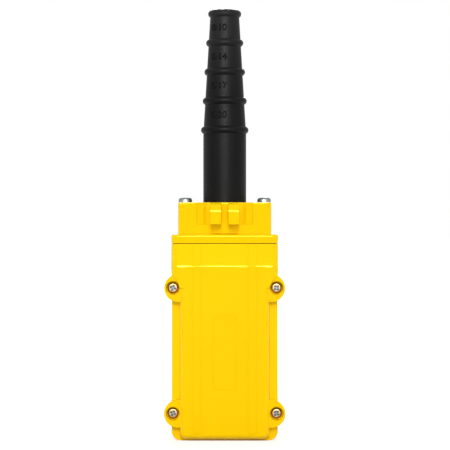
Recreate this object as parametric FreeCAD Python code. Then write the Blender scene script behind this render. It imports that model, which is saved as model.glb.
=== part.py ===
import FreeCAD, Part
import math
import os

# Two-button pendant control station. Millimetres. Origin on the axis of the cord boot, at the
# flat base of the case. +Z runs up to the cable entry, +Y points to the buttons and -Y to the
# back cover.

# Housing
BODY_WIDTH = 73.2  # across the rim
HEAD_FLARE = 0.3  # how far the head and the cap flange stand out of the rim at each side
BODY_HEIGHT = 135.8  # base to the top face of the case
COVER_DEPTH = 11.0  # split plane back to the raised panel
CASE_DEPTH = 45.0  # split plane forward to the front face
AXIS_TO_SPLIT = 16.0  # boot axis back to the split plane
SHELL_WIDTH = 66.0  # across the case below its head
SHELL_DRAFT = 1.2  # taken off each side of the case from split plane to front face
HEAD_DEPTH = 45.0  # front to back at the top face of the case, centred on the boot axis
HEAD_CORNER = 4.4
HEAD_SHOULDER = 5.0  # height over which the case widens into its head
FRONT_SLOPE = 18.0  # height of the sloping top of the front face
BACK_SLOPE = 15.7  # height of the sloping top of the cover
SLOPE_BEND = 8.0  # radius where a slope turns into the flat face
FRONT_EDGE = 5.0  # rounding round the front face
WALL = 3.0
END_WALL = 5.0  # bottom and top walls, which carry the seals
RIM_CORNER = 6.6
CASE_RIM = 5.0  # thickness of the rim on the case
COVER_RIM = 4.0  # thickness of the rim on the cover

# Back cover
PANEL_WIDTH = 61.4
PANEL_RISE = 1.4  # base up to the lower end of the raised panel
PANEL_CORNER = 4.4
PANEL_EDGE = 3.4
COVER_WALL = 2.4
RIB_WIDTH = 5.4
RIB_HEIGHT = 0.45
RIB_OFFSET = 19.0  # centre line of each rib from the middle
RIB_FOOT = 5.4
LABEL_WIDTH = 15.8
LABEL_HEIGHT = 50.7
LABEL_FOOT = 35.4
LABEL_SINK = 0.4
LABEL_CORNER = 0.8

# Screw lugs
LUG_RADIUS = 9.7
LUG_INSET = 4.5  # body side in to the centre of the lug's round edge
LUG_RISE = 9.5  # split plane back to the lug face
LUG_DEPTH = 14.0  # split plane forward to the end of the lug on the case
SCREW_INSET = 0.9  # body side in to the screw's axis
LOWER_SCREW_Z = 18.9
UPPER_SCREW_DROP = 30.4  # top face of the case down to the upper screws
COUNTERBORE_RADIUS = 4.7
COUNTERBORE_DEPTH = 6.2

# Fasteners
M3_RADIUS = 1.5
M4_RADIUS = 2.0
M5_RADIUS = 2.5
HOLE_CLEARANCE = 0.25
THREAD_CLEARANCE = 0.03
HEAD_CROWN = 0.5  # rounding of a head's edge over its height
CAP_HEAD_CROWN = 0.8  # the same for the domed heads of the cap screws
RECESS_DEPTH = 0.55  # cross recess depth over head height
RECESS_REACH = 0.6  # half length of its slots over head radius
RECESS_HALF = 0.17  # half width of its slots over head radius
M3_HEAD = (2.75, 2.0)  # radius and height of the pan head
M4_HEAD = (3.6, 2.6)
M5_HEAD = (4.75, 2.6)
COVER_SCREW_LENGTH = 14.0
COVER_SCREW_TURNS = (25.0, 40.0, 20.0, 48.0)  # how far each screw's recess is turned
CAP_SCREW_LENGTH = 38.0
INSERT_RADIUS = 3.2
INSERT_LENGTH = 8.0
CAP_INSERT_RADIUS = 3.6
CAP_WASHER = (4.6, 0.8)  # radius and thickness

# Seals
SEAL_WIDTH = 2.2
SEAL_INSET = 4.6  # body side in to the outer edge of the cover seal
SEAL_GROOVE = 1.6  # depth of its groove in the cover
CAP_SEAL = 0.5  # thickness of the seal under the cap
CAP_SEAL_INSET = 0.9

# Cap
FLANGE_HEIGHT = 6.1
FLANGE_EDGE = 1.6
BLOCK_WIDTH = 64.6
BLOCK_DEPTH = 35.2
BLOCK_CORNER = 2.6
CAP_HEIGHT = 28.2  # underside of the flange to the top of the collar
POCKET_HEIGHT = 15.5  # height of the four pockets beside the collar
POCKET_DEPTH = 3.5  # block face in to the back of a pocket
POCKET_WIDTH = 39.0
COLLAR_RADIUS = 20.4
COLLAR_LIFT = 0.5  # gap under the part of the collar that stands out of the block
CAP_EDGE = 1.0
CAP_CORE_WALL = 2.6
CAP_ROOF = 5.2  # solid top of a side block, under the screw's washer

# Suspension ears
EAR_WIDTH = 7.3
EAR_GAP = 5.1
EAR_DROP = 0.3  # top of the collar down to the top of an ear
EAR_REACH = 9.6  # how far an ear stands out of the collar
EAR_CROWN = 6.9  # radius of its rounded upper edge
EAR_TOE = 0.8  # radius of its lower outer edge
EYE_RADIUS = 3.0
EYE_OUT = 4.3  # collar surface out to the centre of the eye
EYE_UP = 6.7  # ear's underside up to the centre of the eye

# Cord boot
BOOT_HEIGHT = 163.4  # seat of its foot to the rim
BOOT_RADIUS = 15.0  # of the straight lower length
BOOT_STEPS = 4
RING_PITCH = 20.3
RIM_DROP = 2.9  # top of the boot down to the middle of its rim ring
STEP_TOP_RADIUS = 10.15  # outer radius at the top of the highest step
STEP_GROWTH = 1.2  # added at each step going down
STEP_TAPER = 0.9  # added from the top of a step to its foot
RING_RADIUS = 2.6  # of the round bead at each step
RING_STAND = 1.68  # how far a bead stands out of the step below it
RIM_STAND = 1.45  # the same for the top bead
CABLE_RADII = (5.0, 7.0, 8.5, 10.0)  # bore of each step, from the top
ROOT_BORE = 11.5
BOOT_FOOT_RADIUS = 18.8
BOOT_FOOT_HEIGHT = 5.2
BOOT_CLEARANCE = 0.2
ENTRY_ROUND = 1.0

# Push buttons
BUTTON_NAMES = ("lower", "upper")
BUTTON_SPACING = 46.0
TRAVEL = 5.0
PAD_MARGIN = 3.0  # guard collar out to the edge of the raised pad
PAD_HEIGHT = 1.2
PAD_EDGE = 0.8
GUARD_RADIUS = 20.0
GUARD_WALL = 3.2
GUARD_HEIGHT = 7.5
GUARD_EDGE = 1.2
BUTTON_HOLE = 12.6
BOOT_PLATE = 2.0  # thickness of the button boot's clamped edge
DOME_RADIUS = 12.5
DOME_TOP_RADIUS = 10.6
DOME_HEIGHT = 12.0  # clamped face to the top of the dome
DOME_WALL = 1.5
DOME_EDGE = 1.2
RETAINER_HEIGHT = 3.0
RETAINER_SLOT = 2.6
BUTTON_SIDE_GAP = 0.5  # inside of the dome's top in to the button
BUTTON_HEAD = 5.0
BUTTON_EDGE = 1.0
STEM_RADIUS = 4.0
RUN = 0.08  # radial running clearance of sliding pieces
FIT = 0.2  # clearance between pieces of different bodies

# Switch units
SWITCH_GAP = 9.0  # front face in to the top face of the switch
SWITCH_WIDTH = 26.0
SWITCH_HEAD_GAP = 3.2  # end of a switch out to the heads of its mounting screws
SWITCH_WALL = 1.8
SWITCH_FLOOR = 2.2
GUIDE_PLATE = 2.0
WING_LENGTH = 7.5
WING_WIDTH = 10.0
WING_DEPTH = 8.2
EAR_PLATE = 3.0
EAR_PLATE_WIDTH = 10.0
POST_RADIUS = 3.5
SWITCH_END_GAP = 1.0  # between the two switches
PLUNGER_SIZE = 9.0
PLUNGER_LENGTH = 8.4
PLUNGER_WINDOW = (1.5, 5.2)  # foot and height of the slot for the bridge
WINDOW_WIDTH = 6.0
SPIGOT_RADIUS = 2.1
SPIGOT_LENGTH = 1.8
SOCKET_RADIUS = 2.4
SOCKET_DEPTH = 1.4
BRIDGE_LENGTH = 20.0
BRIDGE_WIDTH = 5.6
STRIP = 1.0  # thickness of the contact metal
TIP_RADIUS = 1.7
TIP_HEIGHT = 1.0
TIP_SPACING = 16.0
CONTACT_CLEARANCE = 0.2  # left between the tips at full travel
CONTACT_WIDTH = 6.6
CONTACT_INNER = 5.2  # middle out to the inner end of a fixed contact
TERMINAL_OFFSET = 16.6
SPRING_WIRE = 0.25  # radius
RETURN_SPRING_RADIUS = 3.2
RETURN_SPRING_TURNS = 3.9
CONTACT_SPRING_RADIUS = 1.9
CONTACT_SPRING_TURNS = 4.0
SPRING_WELL_FLOOR = 1.2

# Cable clamp
CLAMP_DROP = 11.0  # top face of the case down to the middle of the clamp
CLAMP_BORE = 9.0
CLAMP_LAND = 1.5  # flat of the strap's feet between its arch and a screw head
CLAMP_WIDTH = 7.0
CLAMP_STRAP = 1.5
CLAMP_SEAT = 3.0  # boot axis forward to the strap's feet
CLAMP_POST = 3.2  # radius of the post for a clamp screw
CLAMP_SCREW_LENGTH = 12.0

# Sizes and places that follow from the ones above
HEAD_WIDTH = BODY_WIDTH + 2 * HEAD_FLARE
SPLIT = -AXIS_TO_SPLIT
BACK = SPLIT - COVER_DEPTH
FRONT = SPLIT + CASE_DEPTH
HEAD_HALF = HEAD_DEPTH / 2
UPPER_SCREW_Z = BODY_HEIGHT - UPPER_SCREW_DROP
SCREW_X = BODY_WIDTH / 2 - SCREW_INSET
LUG_X = BODY_WIDTH / 2 - LUG_INSET
LUG_FACE = SPLIT - LUG_RISE
SEAT_FACE = LUG_FACE + COUNTERBORE_DEPTH
CAP_FOOT = BODY_HEIGHT + CAP_SEAL
CAP_TOP = CAP_FOOT + CAP_HEIGHT
FLANGE_TOP = CAP_FOOT + FLANGE_HEIGHT
POCKET_FLOOR = CAP_TOP - POCKET_HEIGHT
BOOT_TOP = BODY_HEIGHT + BOOT_HEIGHT
FOOT_HOLE = BOOT_FOOT_RADIUS + BOOT_CLEARANCE
SEAL_EDGE = HEAD_WIDTH / 2 - CAP_SEAL_INSET
CAP_SCREW_X = (FOOT_HOLE + SEAL_EDGE) / 2
FOOT_TOP = BODY_HEIGHT + BOOT_FOOT_HEIGHT
CLAMP_Z = BODY_HEIGHT - CLAMP_DROP
CLAMP_SCREW_X = CLAMP_BORE + CLAMP_STRAP + CLAMP_LAND + M3_HEAD[0]
GUARD_FACE = FRONT + PAD_HEIGHT + GUARD_HEIGHT
PLATE_FACE = FRONT + PAD_HEIGHT
# The buttons stand midway between the floor of the case and the cable clamp
BUTTONS_MIDDLE = (END_WALL + CLAMP_Z - CLAMP_WIDTH / 2) / 2
BUTTON_Z = (BUTTONS_MIDDLE - BUTTON_SPACING / 2, BUTTONS_MIDDLE + BUTTON_SPACING / 2)
PAD_RADIUS = GUARD_RADIUS + PAD_MARGIN
BUTTON_RADIUS = DOME_TOP_RADIUS - DOME_WALL - BUTTON_SIDE_GAP
MOUNT_OFFSET = (BUTTON_SPACING - SWITCH_END_GAP) / 2 - POST_RADIUS
SWITCH_HEIGHT = 2 * (MOUNT_OFFSET - M3_HEAD[0] - SWITCH_HEAD_GAP)
SWITCH_TOP = FRONT - SWITCH_GAP
PLUNGER_TOP = SWITCH_TOP - GUIDE_PLATE - FIT
PLUNGER_FOOT = PLUNGER_TOP - PLUNGER_LENGTH
BRIDGE_SEAT = PLUNGER_FOOT + PLUNGER_WINDOW[0]
FIXED_TIP = BRIDGE_SEAT - TIP_HEIGHT - TRAVEL - CONTACT_CLEARANCE
FIXED_FACE = FIXED_TIP - TIP_HEIGHT
STRIP_BACK = FIXED_FACE - STRIP
CLAMP_BACK = STRIP_BACK - STRIP
SWITCH_BACK = STRIP_BACK - SWITCH_FLOOR
SPRING_SEAT = SWITCH_BACK + SPRING_WELL_FLOOR
DOME_FACE = PLATE_FACE + DOME_HEIGHT


def at(x, y, z):
    return FreeCAD.Vector(x, y, z)


def box(x, y, z):
    """Block between two X, two Y and two Z values."""
    size = (x[1] - x[0], y[1] - y[0], z[1] - z[0])
    return Part.makeBox(*size, at(x[0], y[0], z[0]))


def rod_x(radius, x, y, z):
    return Part.makeCylinder(radius, x[1] - x[0], at(x[0], y, z), at(1, 0, 0))


def rod_y(radius, y, x, z):
    return Part.makeCylinder(radius, y[1] - y[0], at(x, y[0], z), at(0, 1, 0))


def rod_z(radius, z, x=0.0, y=0.0):
    return Part.makeCylinder(radius, z[1] - z[0], at(x, y, z[0]), at(0, 0, 1))


def rounded_wire(points, radii):
    """Closed wire through points, with an arc of its own radius at each corner."""
    edges = []
    last = None
    first = None
    count = len(points)
    for i, corner in enumerate(points):
        before = (points[i - 1] - corner).normalize()
        after = (points[(i + 1) % count] - corner).normalize()
        if radii[i] > 0:
            half = before.getAngle(after) / 2
            reach = radii[i] / math.tan(half)
            start = corner + before * reach
            end = corner + after * reach
            inward = (before + after).normalize()
            middle = corner + inward * (radii[i] / math.sin(half) - radii[i])
        else:
            start = end = corner
        if last is None:
            first = start
        else:
            edges.append(Part.makeLine(last, start))
        if radii[i] > 0:
            edges.append(Part.Arc(start, middle, end).toShape())
        last = end
    edges.append(Part.makeLine(last, first))
    return Part.Wire(edges)


def outline_xz(width, z, y, low_radius, high_radius):
    """Upright rounded rectangle, centred on X, at one Y."""
    half = width / 2
    points = [at(-half, y, z[0]), at(half, y, z[0]), at(half, y, z[1]), at(-half, y, z[1])]
    return rounded_wire(points, [low_radius, low_radius, high_radius, high_radius])


def outline_xy(width, y, z, radius):
    """Level rounded rectangle, centred on X, at one Z."""
    half = width / 2
    points = [at(-half, y[0], z), at(half, y[0], z), at(half, y[1], z), at(-half, y[1], z)]
    return rounded_wire(points, [radius] * 4)


def upright_slab(width, z, y, low_radius, high_radius=0.0):
    face = Part.Face(outline_xz(width, z, y[0], low_radius, high_radius))
    return face.extrude(at(0, y[1] - y[0], 0))


def level_slab(width, y, z, radius):
    face = Part.Face(outline_xy(width, y, z[0], radius))
    return face.extrude(at(0, 0, z[1] - z[0]))


def side_profile(points, x, radii=None):
    """Solid with one outline in the YZ plane, between two X values."""
    corners = [at(x[0], y, z) for y, z in points]
    wire = rounded_wire(corners, radii or [0.0] * len(corners))
    return Part.Face(wire).extrude(at(x[1] - x[0], 0, 0))


def fuse(first, *others):
    return first.fuse(list(others)).removeSplitter()


def round_edges(solid, radius, test):
    """Fillets every edge that passes a test of its middle point and itself."""
    chosen = []
    for edge in solid.Edges:
        low, high = edge.ParameterRange
        middle = edge.valueAt((low + high) / 2)
        if test(middle, edge):
            chosen.append(edge)
    return solid.makeFillet(radius, chosen)


def on_level(value, axis):
    """Test for the edges that lie wholly at one X, Y or Z."""

    def test(middle, edge):
        return all(abs(v.Point[axis] - value) < 1e-4 for v in edge.Vertexes) and (
            abs(middle[axis] - value) < 1e-4
        )

    return test


def turned(profile, centre, direction):
    """Full revolve of an (r, h) outline. Height runs along direction from centre."""
    side = at(1, 0, 0)
    points = [centre + side * r + direction * h for r, h in profile]
    face = Part.Face(Part.makePolygon(points + points[:1]))
    return face.revolve(centre, direction, 360)


def tube_y(outer, inner, y, x, z):
    return rod_y(outer, y, x, z).cut(rod_y(inner, y, x, z))


def pan_screw(head, radius, length, seat, along, turn=0.0, crown=HEAD_CROWN):
    """Pan head screw with a cross recess. along is the way the shank points."""
    head_radius, head_height = head
    edge = head_height * crown
    screw = Part.makeCylinder(head_radius, head_height, seat, along * -1)
    rim = [
        e
        for e in screw.Edges
        if abs((e.CenterOfMass - seat).dot(along) + head_height) < 1e-6
    ]
    screw = screw.makeFillet(edge, rim)
    screw = fuse(screw, Part.makeCylinder(radius, length, seat, along))
    depth = head_height * RECESS_DEPTH
    arm = head_radius * RECESS_REACH
    thick = head_radius * RECESS_HALF
    side = at(1, 0, 0)
    other = along.cross(side)
    top = seat - along * head_height
    for one, two in ((side, other), (other, side)):
        corner = top - one * arm - two * thick
        edges = [corner, corner + one * (2 * arm)]
        edges += [edges[1] + two * (2 * thick), corner + two * (2 * thick)]
        slot = Part.Face(Part.makePolygon(edges + edges[:1])).extrude(along * depth)
        screw = screw.cut(slot)
    screw.rotate(seat, along, turn)
    return screw


def coil(radius, wire, turns, height, start):
    """Compression spring along +Y with a four-sided wire."""
    pitch = height / turns
    helix = Part.makeHelix(pitch, height, radius)
    section = Part.makePolygon(
        [
            at(radius - wire, 0, 0),
            at(radius, 0, -wire),
            at(radius + wire, 0, 0),
            at(radius, 0, wire),
            at(radius - wire, 0, 0),
        ]
    )
    spring = Part.Wire(helix.Edges).makePipeShell([section], True, True)
    spring.rotate(at(0, 0, 0), at(1, 0, 0), -90)
    spring.translate(start)
    return spring


def slope_sizes(back):
    """Face, height of the bend, edge at the top and sign of Y for one leaning side."""
    if back:
        return BACK, BODY_HEIGHT - BACK_SLOPE, -HEAD_HALF, -1.0
    return FRONT, BODY_HEIGHT - FRONT_SLOPE, HEAD_HALF, 1.0


def leaning_head(bottom, shoulder, back):
    """One side of the housing's head, from the split plane to its leaning face."""
    face, bend, top_edge, sign = slope_sizes(back)
    half = HEAD_WIDTH / 2
    foot = bottom + shoulder
    view = [(SPLIT, foot), (face, foot), (face, bend), (top_edge, BODY_HEIGHT)]
    view.append((SPLIT, BODY_HEIGHT))
    head = side_profile(view, (-half, half), [0.0, 0.0, SLOPE_BEND, 0.0, 0.0])
    margin = HEAD_CORNER / 2

    def upright(middle, edge):
        rises = abs(edge.Vertexes[0].Z - edge.Vertexes[-1].Z) > 1e-3
        return rises and abs(middle.x) > half - 1e-4 and abs(middle.y - SPLIT) > margin

    head = round_edges(head, HEAD_CORNER, upright)
    if shoulder > 0:
        side = sorted((SPLIT - sign * 2 * HEAD_CORNER, face))
        low = outline_xy(SHELL_WIDTH, side, bottom, HEAD_CORNER)
        high = outline_xy(HEAD_WIDTH, side, foot, HEAD_CORNER)
        skirt = Part.makeLoft([low, high], True, True)
        keep = sorted((SPLIT, face + sign))
        head = fuse(head, skirt.common(box((-half, half), keep, (bottom, foot))))
    return head


def slope_line(wall, back):
    """(y, z) corners of the housing's side view, set in by a wall on the sloping side."""
    face, bend, top_edge, sign = slope_sizes(back)
    lean = math.atan2(abs(face - top_edge), BODY_HEIGHT - bend)
    inner = face - sign * wall
    inner_bend = bend - wall * math.tan(lean / 2)
    top = BODY_HEIGHT - END_WALL
    inner_top = inner - sign * math.tan(lean) * (top - inner_bend)
    return [
        (SPLIT, END_WALL),
        (inner, END_WALL),
        (inner, inner_bend),
        (inner_top, top),
        (SPLIT, top),
    ]


def screw_places():
    """X and Z of the four screws that hold the cover."""
    return [(s * SCREW_X, z) for z in (LOWER_SCREW_Z, UPPER_SCREW_Z) for s in (-1, 1)]


def lugs(y):
    heights = (LOWER_SCREW_Z, UPPER_SCREW_Z)
    return [rod_y(LUG_RADIUS, y, s * LUG_X, z) for z in heights for s in (-1, 1)]


def rim(y):
    """Rim of the case or of the cover, up to the middle of the upper lugs."""
    return upright_slab(BODY_WIDTH, (0, UPPER_SCREW_Z), y, RIM_CORNER)


def seal_ring(y):
    """Rounded rectangular ring that the cover's seal and its groove share."""
    outer_width = BODY_WIDTH - 2 * SEAL_INSET
    margin = (END_WALL - SEAL_WIDTH) / 2
    outer_z = (margin, BODY_HEIGHT - margin)
    inner_z = (margin + SEAL_WIDTH, BODY_HEIGHT - margin - SEAL_WIDTH)
    outer = upright_slab(outer_width, outer_z, y, RIM_CORNER, RIM_CORNER)
    inner_width = outer_width - 2 * SEAL_WIDTH
    inner_radius = RIM_CORNER - SEAL_WIDTH
    inner = upright_slab(inner_width, inner_z, y, inner_radius, inner_radius)
    return outer.cut(inner)


def make_back_cover():
    plate = rim((SPLIT - COVER_RIM, SPLIT))
    panel_z = (PANEL_RISE, BODY_HEIGHT - BACK_SLOPE)
    panel = upright_slab(PANEL_WIDTH, panel_z, (BACK, SPLIT), PANEL_CORNER)
    panel = round_edges(
        panel,
        PANEL_EDGE,
        lambda m, e: abs(m.y - BACK) < 1e-4 and m.z < panel_z[1] - 1e-3,
    )
    head = leaning_head(UPPER_SCREW_Z, 0.0, True)
    for side in (-1, 1):
        pocket_x = side * (BODY_WIDTH - LUG_X)
        pocket = rod_y(LUG_RADIUS, (BACK - 1, LUG_FACE), pocket_x, UPPER_SCREW_Z)
        head = head.cut(pocket)
    cover = fuse(plate, panel, head, *lugs((LUG_FACE, SPLIT)))
    rib_top = BODY_HEIGHT - 2 * RIB_HEIGHT
    ribs = []
    for side in (-1, 1):
        x = (side * RIB_OFFSET - RIB_WIDTH / 2, side * RIB_OFFSET + RIB_WIDTH / 2)
        inner = BACK + COVER_WALL / 2
        lean = (BACK + HEAD_HALF) / BACK_SLOPE
        points = [
            (inner, RIB_FOOT),
            (BACK - RIB_HEIGHT, RIB_FOOT),
            (BACK - RIB_HEIGHT, BODY_HEIGHT - BACK_SLOPE),
            (-HEAD_HALF - RIB_HEIGHT + (BODY_HEIGHT - rib_top) * lean, rib_top),
            (-HEAD_HALF + COVER_WALL / 2, rib_top),
            (inner, BODY_HEIGHT - BACK_SLOPE),
        ]
        ribs.append(side_profile(points, x))
    cover = fuse(cover, *ribs)
    label_z = (LABEL_FOOT, LABEL_FOOT + LABEL_HEIGHT)
    label_y = (BACK, BACK + LABEL_SINK)
    cover = cover.cut(upright_slab(LABEL_WIDTH, label_z, label_y, LABEL_CORNER, LABEL_CORNER))
    hollow_width = PANEL_WIDTH - 2 * COVER_WALL
    hollow = upright_slab(
        hollow_width, (END_WALL, BODY_HEIGHT - END_WALL), (BACK, SPLIT), PANEL_CORNER, PANEL_CORNER
    )
    side = side_profile(slope_line(COVER_WALL, True), (-BODY_WIDTH / 2, BODY_WIDTH / 2))
    cover = cover.cut(hollow.common(side))
    cover = cover.cut(seal_ring((SPLIT - SEAL_GROOVE, SPLIT)))
    for x, z in screw_places():
        cover = cover.cut(rod_y(COUNTERBORE_RADIUS, (BACK - 1, SEAT_FACE), x, z))
        cover = cover.cut(rod_y(M4_RADIUS + HOLE_CLEARANCE, (BACK, SPLIT), x, z))
    return cover.removeSplitter()


def case_shell():
    """Outer form of the front case, before anything is taken out of it."""
    top = BODY_HEIGHT - FRONT_SLOPE
    wide = SHELL_WIDTH / 2
    narrow = wide - SHELL_DRAFT
    plan = [(-wide, SPLIT), (wide, SPLIT), (narrow, FRONT), (-narrow, FRONT), (-wide, SPLIT)]
    face = Part.Face(Part.makePolygon([at(x, y, 0) for x, y in plan]))
    shell = face.extrude(at(0, 0, top))
    middle = (SPLIT + FRONT) / 2
    shell = round_edges(shell, RIM_CORNER, lambda m, e: m.z < 1e-4 and abs(m.y - middle) < 1e-4)
    shell = round_edges(
        shell, FRONT_EDGE, lambda m, e: abs(m.y - FRONT) < 1e-4 and m.z < top - 1e-3
    )
    head = leaning_head(UPPER_SCREW_Z, HEAD_SHOULDER, False)
    return fuse(shell, head, rim((SPLIT, SPLIT + CASE_RIM)), *lugs((SPLIT, SPLIT + LUG_DEPTH)))


def button_guards():
    """Raised pad and the two guard collars that stand on it."""
    low, high = BUTTON_Z
    pad = fuse(
        rod_y(PAD_RADIUS, (FRONT - WALL, PLATE_FACE), 0, low),
        rod_y(PAD_RADIUS, (FRONT - WALL, PLATE_FACE), 0, high),
        box((-PAD_RADIUS, PAD_RADIUS), (FRONT - WALL, PLATE_FACE), (low, high)),
    )
    pad = round_edges(pad, PAD_EDGE, on_level(PLATE_FACE, 1))
    collars = []
    for z in BUTTON_Z:
        collar = tube_y(GUARD_RADIUS, GUARD_RADIUS - GUARD_WALL, (FRONT, GUARD_FACE), 0, z)
        collars.append(round_edges(collar, GUARD_EDGE, on_level(GUARD_FACE, 1)))
    return pad, collars


def case_inside():
    """Posts and bosses that stand inside the case."""
    pieces = []
    for z in BUTTON_Z:
        for side in (-1, 1):
            place = z + side * MOUNT_OFFSET
            pieces.append(rod_y(POST_RADIUS, (SWITCH_TOP, FRONT - WALL / 2), 0, place))
    for side in (-1, 1):
        pieces.append(rod_y(CLAMP_POST, (CLAMP_SEAT, FRONT), side * CLAMP_SCREW_X, CLAMP_Z))
    saddle = box(
        (-CLAMP_SCREW_X, CLAMP_SCREW_X),
        (CLAMP_SEAT + CLAMP_STRAP, FRONT),
        (CLAMP_Z - CLAMP_WIDTH / 2, CLAMP_Z + CLAMP_WIDTH / 2),
    )
    pieces.append(saddle)
    boss_foot = BODY_HEIGHT - CAP_SCREW_LENGTH + CAP_HEIGHT + CAP_SEAL - WALL
    for side in (-1, 1):
        x = side * CAP_SCREW_X
        pieces.append(rod_z(CAP_INSERT_RADIUS + WALL / 2, (boss_foot, BODY_HEIGHT), x))
    return pieces


def make_front_case():
    outer = case_shell()
    width = SHELL_WIDTH - 2 * WALL
    hollow = upright_slab(
        width, (END_WALL, BODY_HEIGHT - END_WALL), (SPLIT, FRONT), RIM_CORNER - WALL, RIM_CORNER - WALL
    )
    side = side_profile(slope_line(WALL, False), (-BODY_WIDTH / 2, BODY_WIDTH / 2))
    case = outer.cut(hollow.common(side))
    inside = fuse(*case_inside()).common(outer)
    pad, collars = button_guards()
    case = fuse(case, inside, pad, *collars)
    for z in BUTTON_Z:
        case = case.cut(rod_y(BUTTON_HOLE, (SWITCH_TOP, PLATE_FACE), 0, z))
        for sign in (-1, 1):
            place = z + sign * MOUNT_OFFSET
            depth = (SWITCH_TOP, FRONT - WALL)
            case = case.cut(rod_y(M3_RADIUS + THREAD_CLEARANCE, depth, 0, place))
    case = case.cut(rod_z(ROOT_BORE, (BODY_HEIGHT - END_WALL - WALL, BODY_HEIGHT)))
    case = case.cut(rod_z(CLAMP_BORE, (END_WALL, BODY_HEIGHT - END_WALL)))
    for sign in (-1, 1):
        clamp_x = sign * CLAMP_SCREW_X
        depth = (CLAMP_SEAT, CLAMP_SEAT + CLAMP_SCREW_LENGTH)
        case = case.cut(rod_y(M3_RADIUS + THREAD_CLEARANCE, depth, clamp_x, CLAMP_Z))
        cap_x = sign * CAP_SCREW_X
        insert_z = (BODY_HEIGHT - INSERT_LENGTH, BODY_HEIGHT)
        case = case.cut(rod_z(CAP_INSERT_RADIUS + THREAD_CLEARANCE, insert_z, cap_x))
        screw_foot = CAP_TOP + CAP_WASHER[1] - CAP_SCREW_LENGTH
        case = case.cut(rod_z(M5_RADIUS + HOLE_CLEARANCE, (screw_foot, BODY_HEIGHT), cap_x))
    for x, z in screw_places():
        insert_y = (SPLIT, SPLIT + INSERT_LENGTH)
        case = case.cut(rod_y(INSERT_RADIUS + THREAD_CLEARANCE, insert_y, x, z))
        tip = (SPLIT, SEAT_FACE + COVER_SCREW_LENGTH + HOLE_CLEARANCE)
        case = case.cut(rod_y(M4_RADIUS + HOLE_CLEARANCE, tip, x, z))
    return case.removeSplitter()


def make_top_cap():
    flange = level_slab(HEAD_WIDTH, (-HEAD_HALF, HEAD_HALF), (CAP_FOOT, FLANGE_TOP), HEAD_CORNER)
    flange = round_edges(flange, FLANGE_EDGE, on_level(FLANGE_TOP, 2))
    half = BLOCK_DEPTH / 2
    block = level_slab(BLOCK_WIDTH, (-half, half), (CAP_FOOT, CAP_TOP), BLOCK_CORNER)
    block = round_edges(block, CAP_EDGE, on_level(CAP_TOP, 2))
    for side in (-1, 1):
        pocket = box(
            (-POCKET_WIDTH / 2, POCKET_WIDTH / 2),
            tuple(sorted((side * half, side * (half - POCKET_DEPTH)))),
            (POCKET_FLOOR, CAP_TOP),
        )
        block = block.cut(pocket)
    collar = rod_z(COLLAR_RADIUS, (FLANGE_TOP + COLLAR_LIFT, CAP_TOP))
    collar = round_edges(collar, CAP_EDGE, on_level(CAP_TOP, 2))
    cap = fuse(flange, block, collar, *ears())
    cap = cap.cut(rod_z(BOOT_RADIUS + BOOT_CLEARANCE, (CAP_FOOT, CAP_TOP)))
    cap = cap.cut(rod_z(FOOT_HOLE, (CAP_FOOT, FOOT_TOP)))
    for side in (-1, 1):
        x = side * CAP_SCREW_X
        inner = COLLAR_RADIUS + CAP_CORE_WALL
        outer = BLOCK_WIDTH / 2 - CAP_CORE_WALL
        core = box(
            tuple(sorted((side * inner, side * outer))),
            (-half + CAP_CORE_WALL, half - CAP_CORE_WALL),
            (CAP_FOOT, CAP_TOP - CAP_ROOF),
        )
        boss = rod_z(M5_RADIUS + CAP_CORE_WALL, (CAP_FOOT, CAP_TOP), x)
        cap = cap.cut(core.cut(boss))
        cap = cap.cut(rod_z(M5_RADIUS + HOLE_CLEARANCE, (CAP_FOOT, CAP_TOP), x))
    return cap.removeSplitter()


def ears():
    """The pair of suspension ears, each with an eye through it."""
    outer = -COLLAR_RADIUS - EAR_REACH
    root = -BOOT_RADIUS - BOOT_CLEARANCE - WALL
    top = CAP_TOP - EAR_DROP
    points = [(root, POCKET_FLOOR), (outer, POCKET_FLOOR), (outer, top), (root, top)]
    radii = [0.0, EAR_TOE, EAR_CROWN, 0.0]
    made = []
    for side in (-1, 1):
        x = sorted((side * EAR_GAP / 2, side * (EAR_GAP / 2 + EAR_WIDTH)))
        ear = side_profile(points, x, radii)
        eye_y = -COLLAR_RADIUS - EYE_OUT
        made.append(ear.cut(rod_x(EYE_RADIUS, x, eye_y, POCKET_FLOOR + EYE_UP)))
    return made


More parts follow.
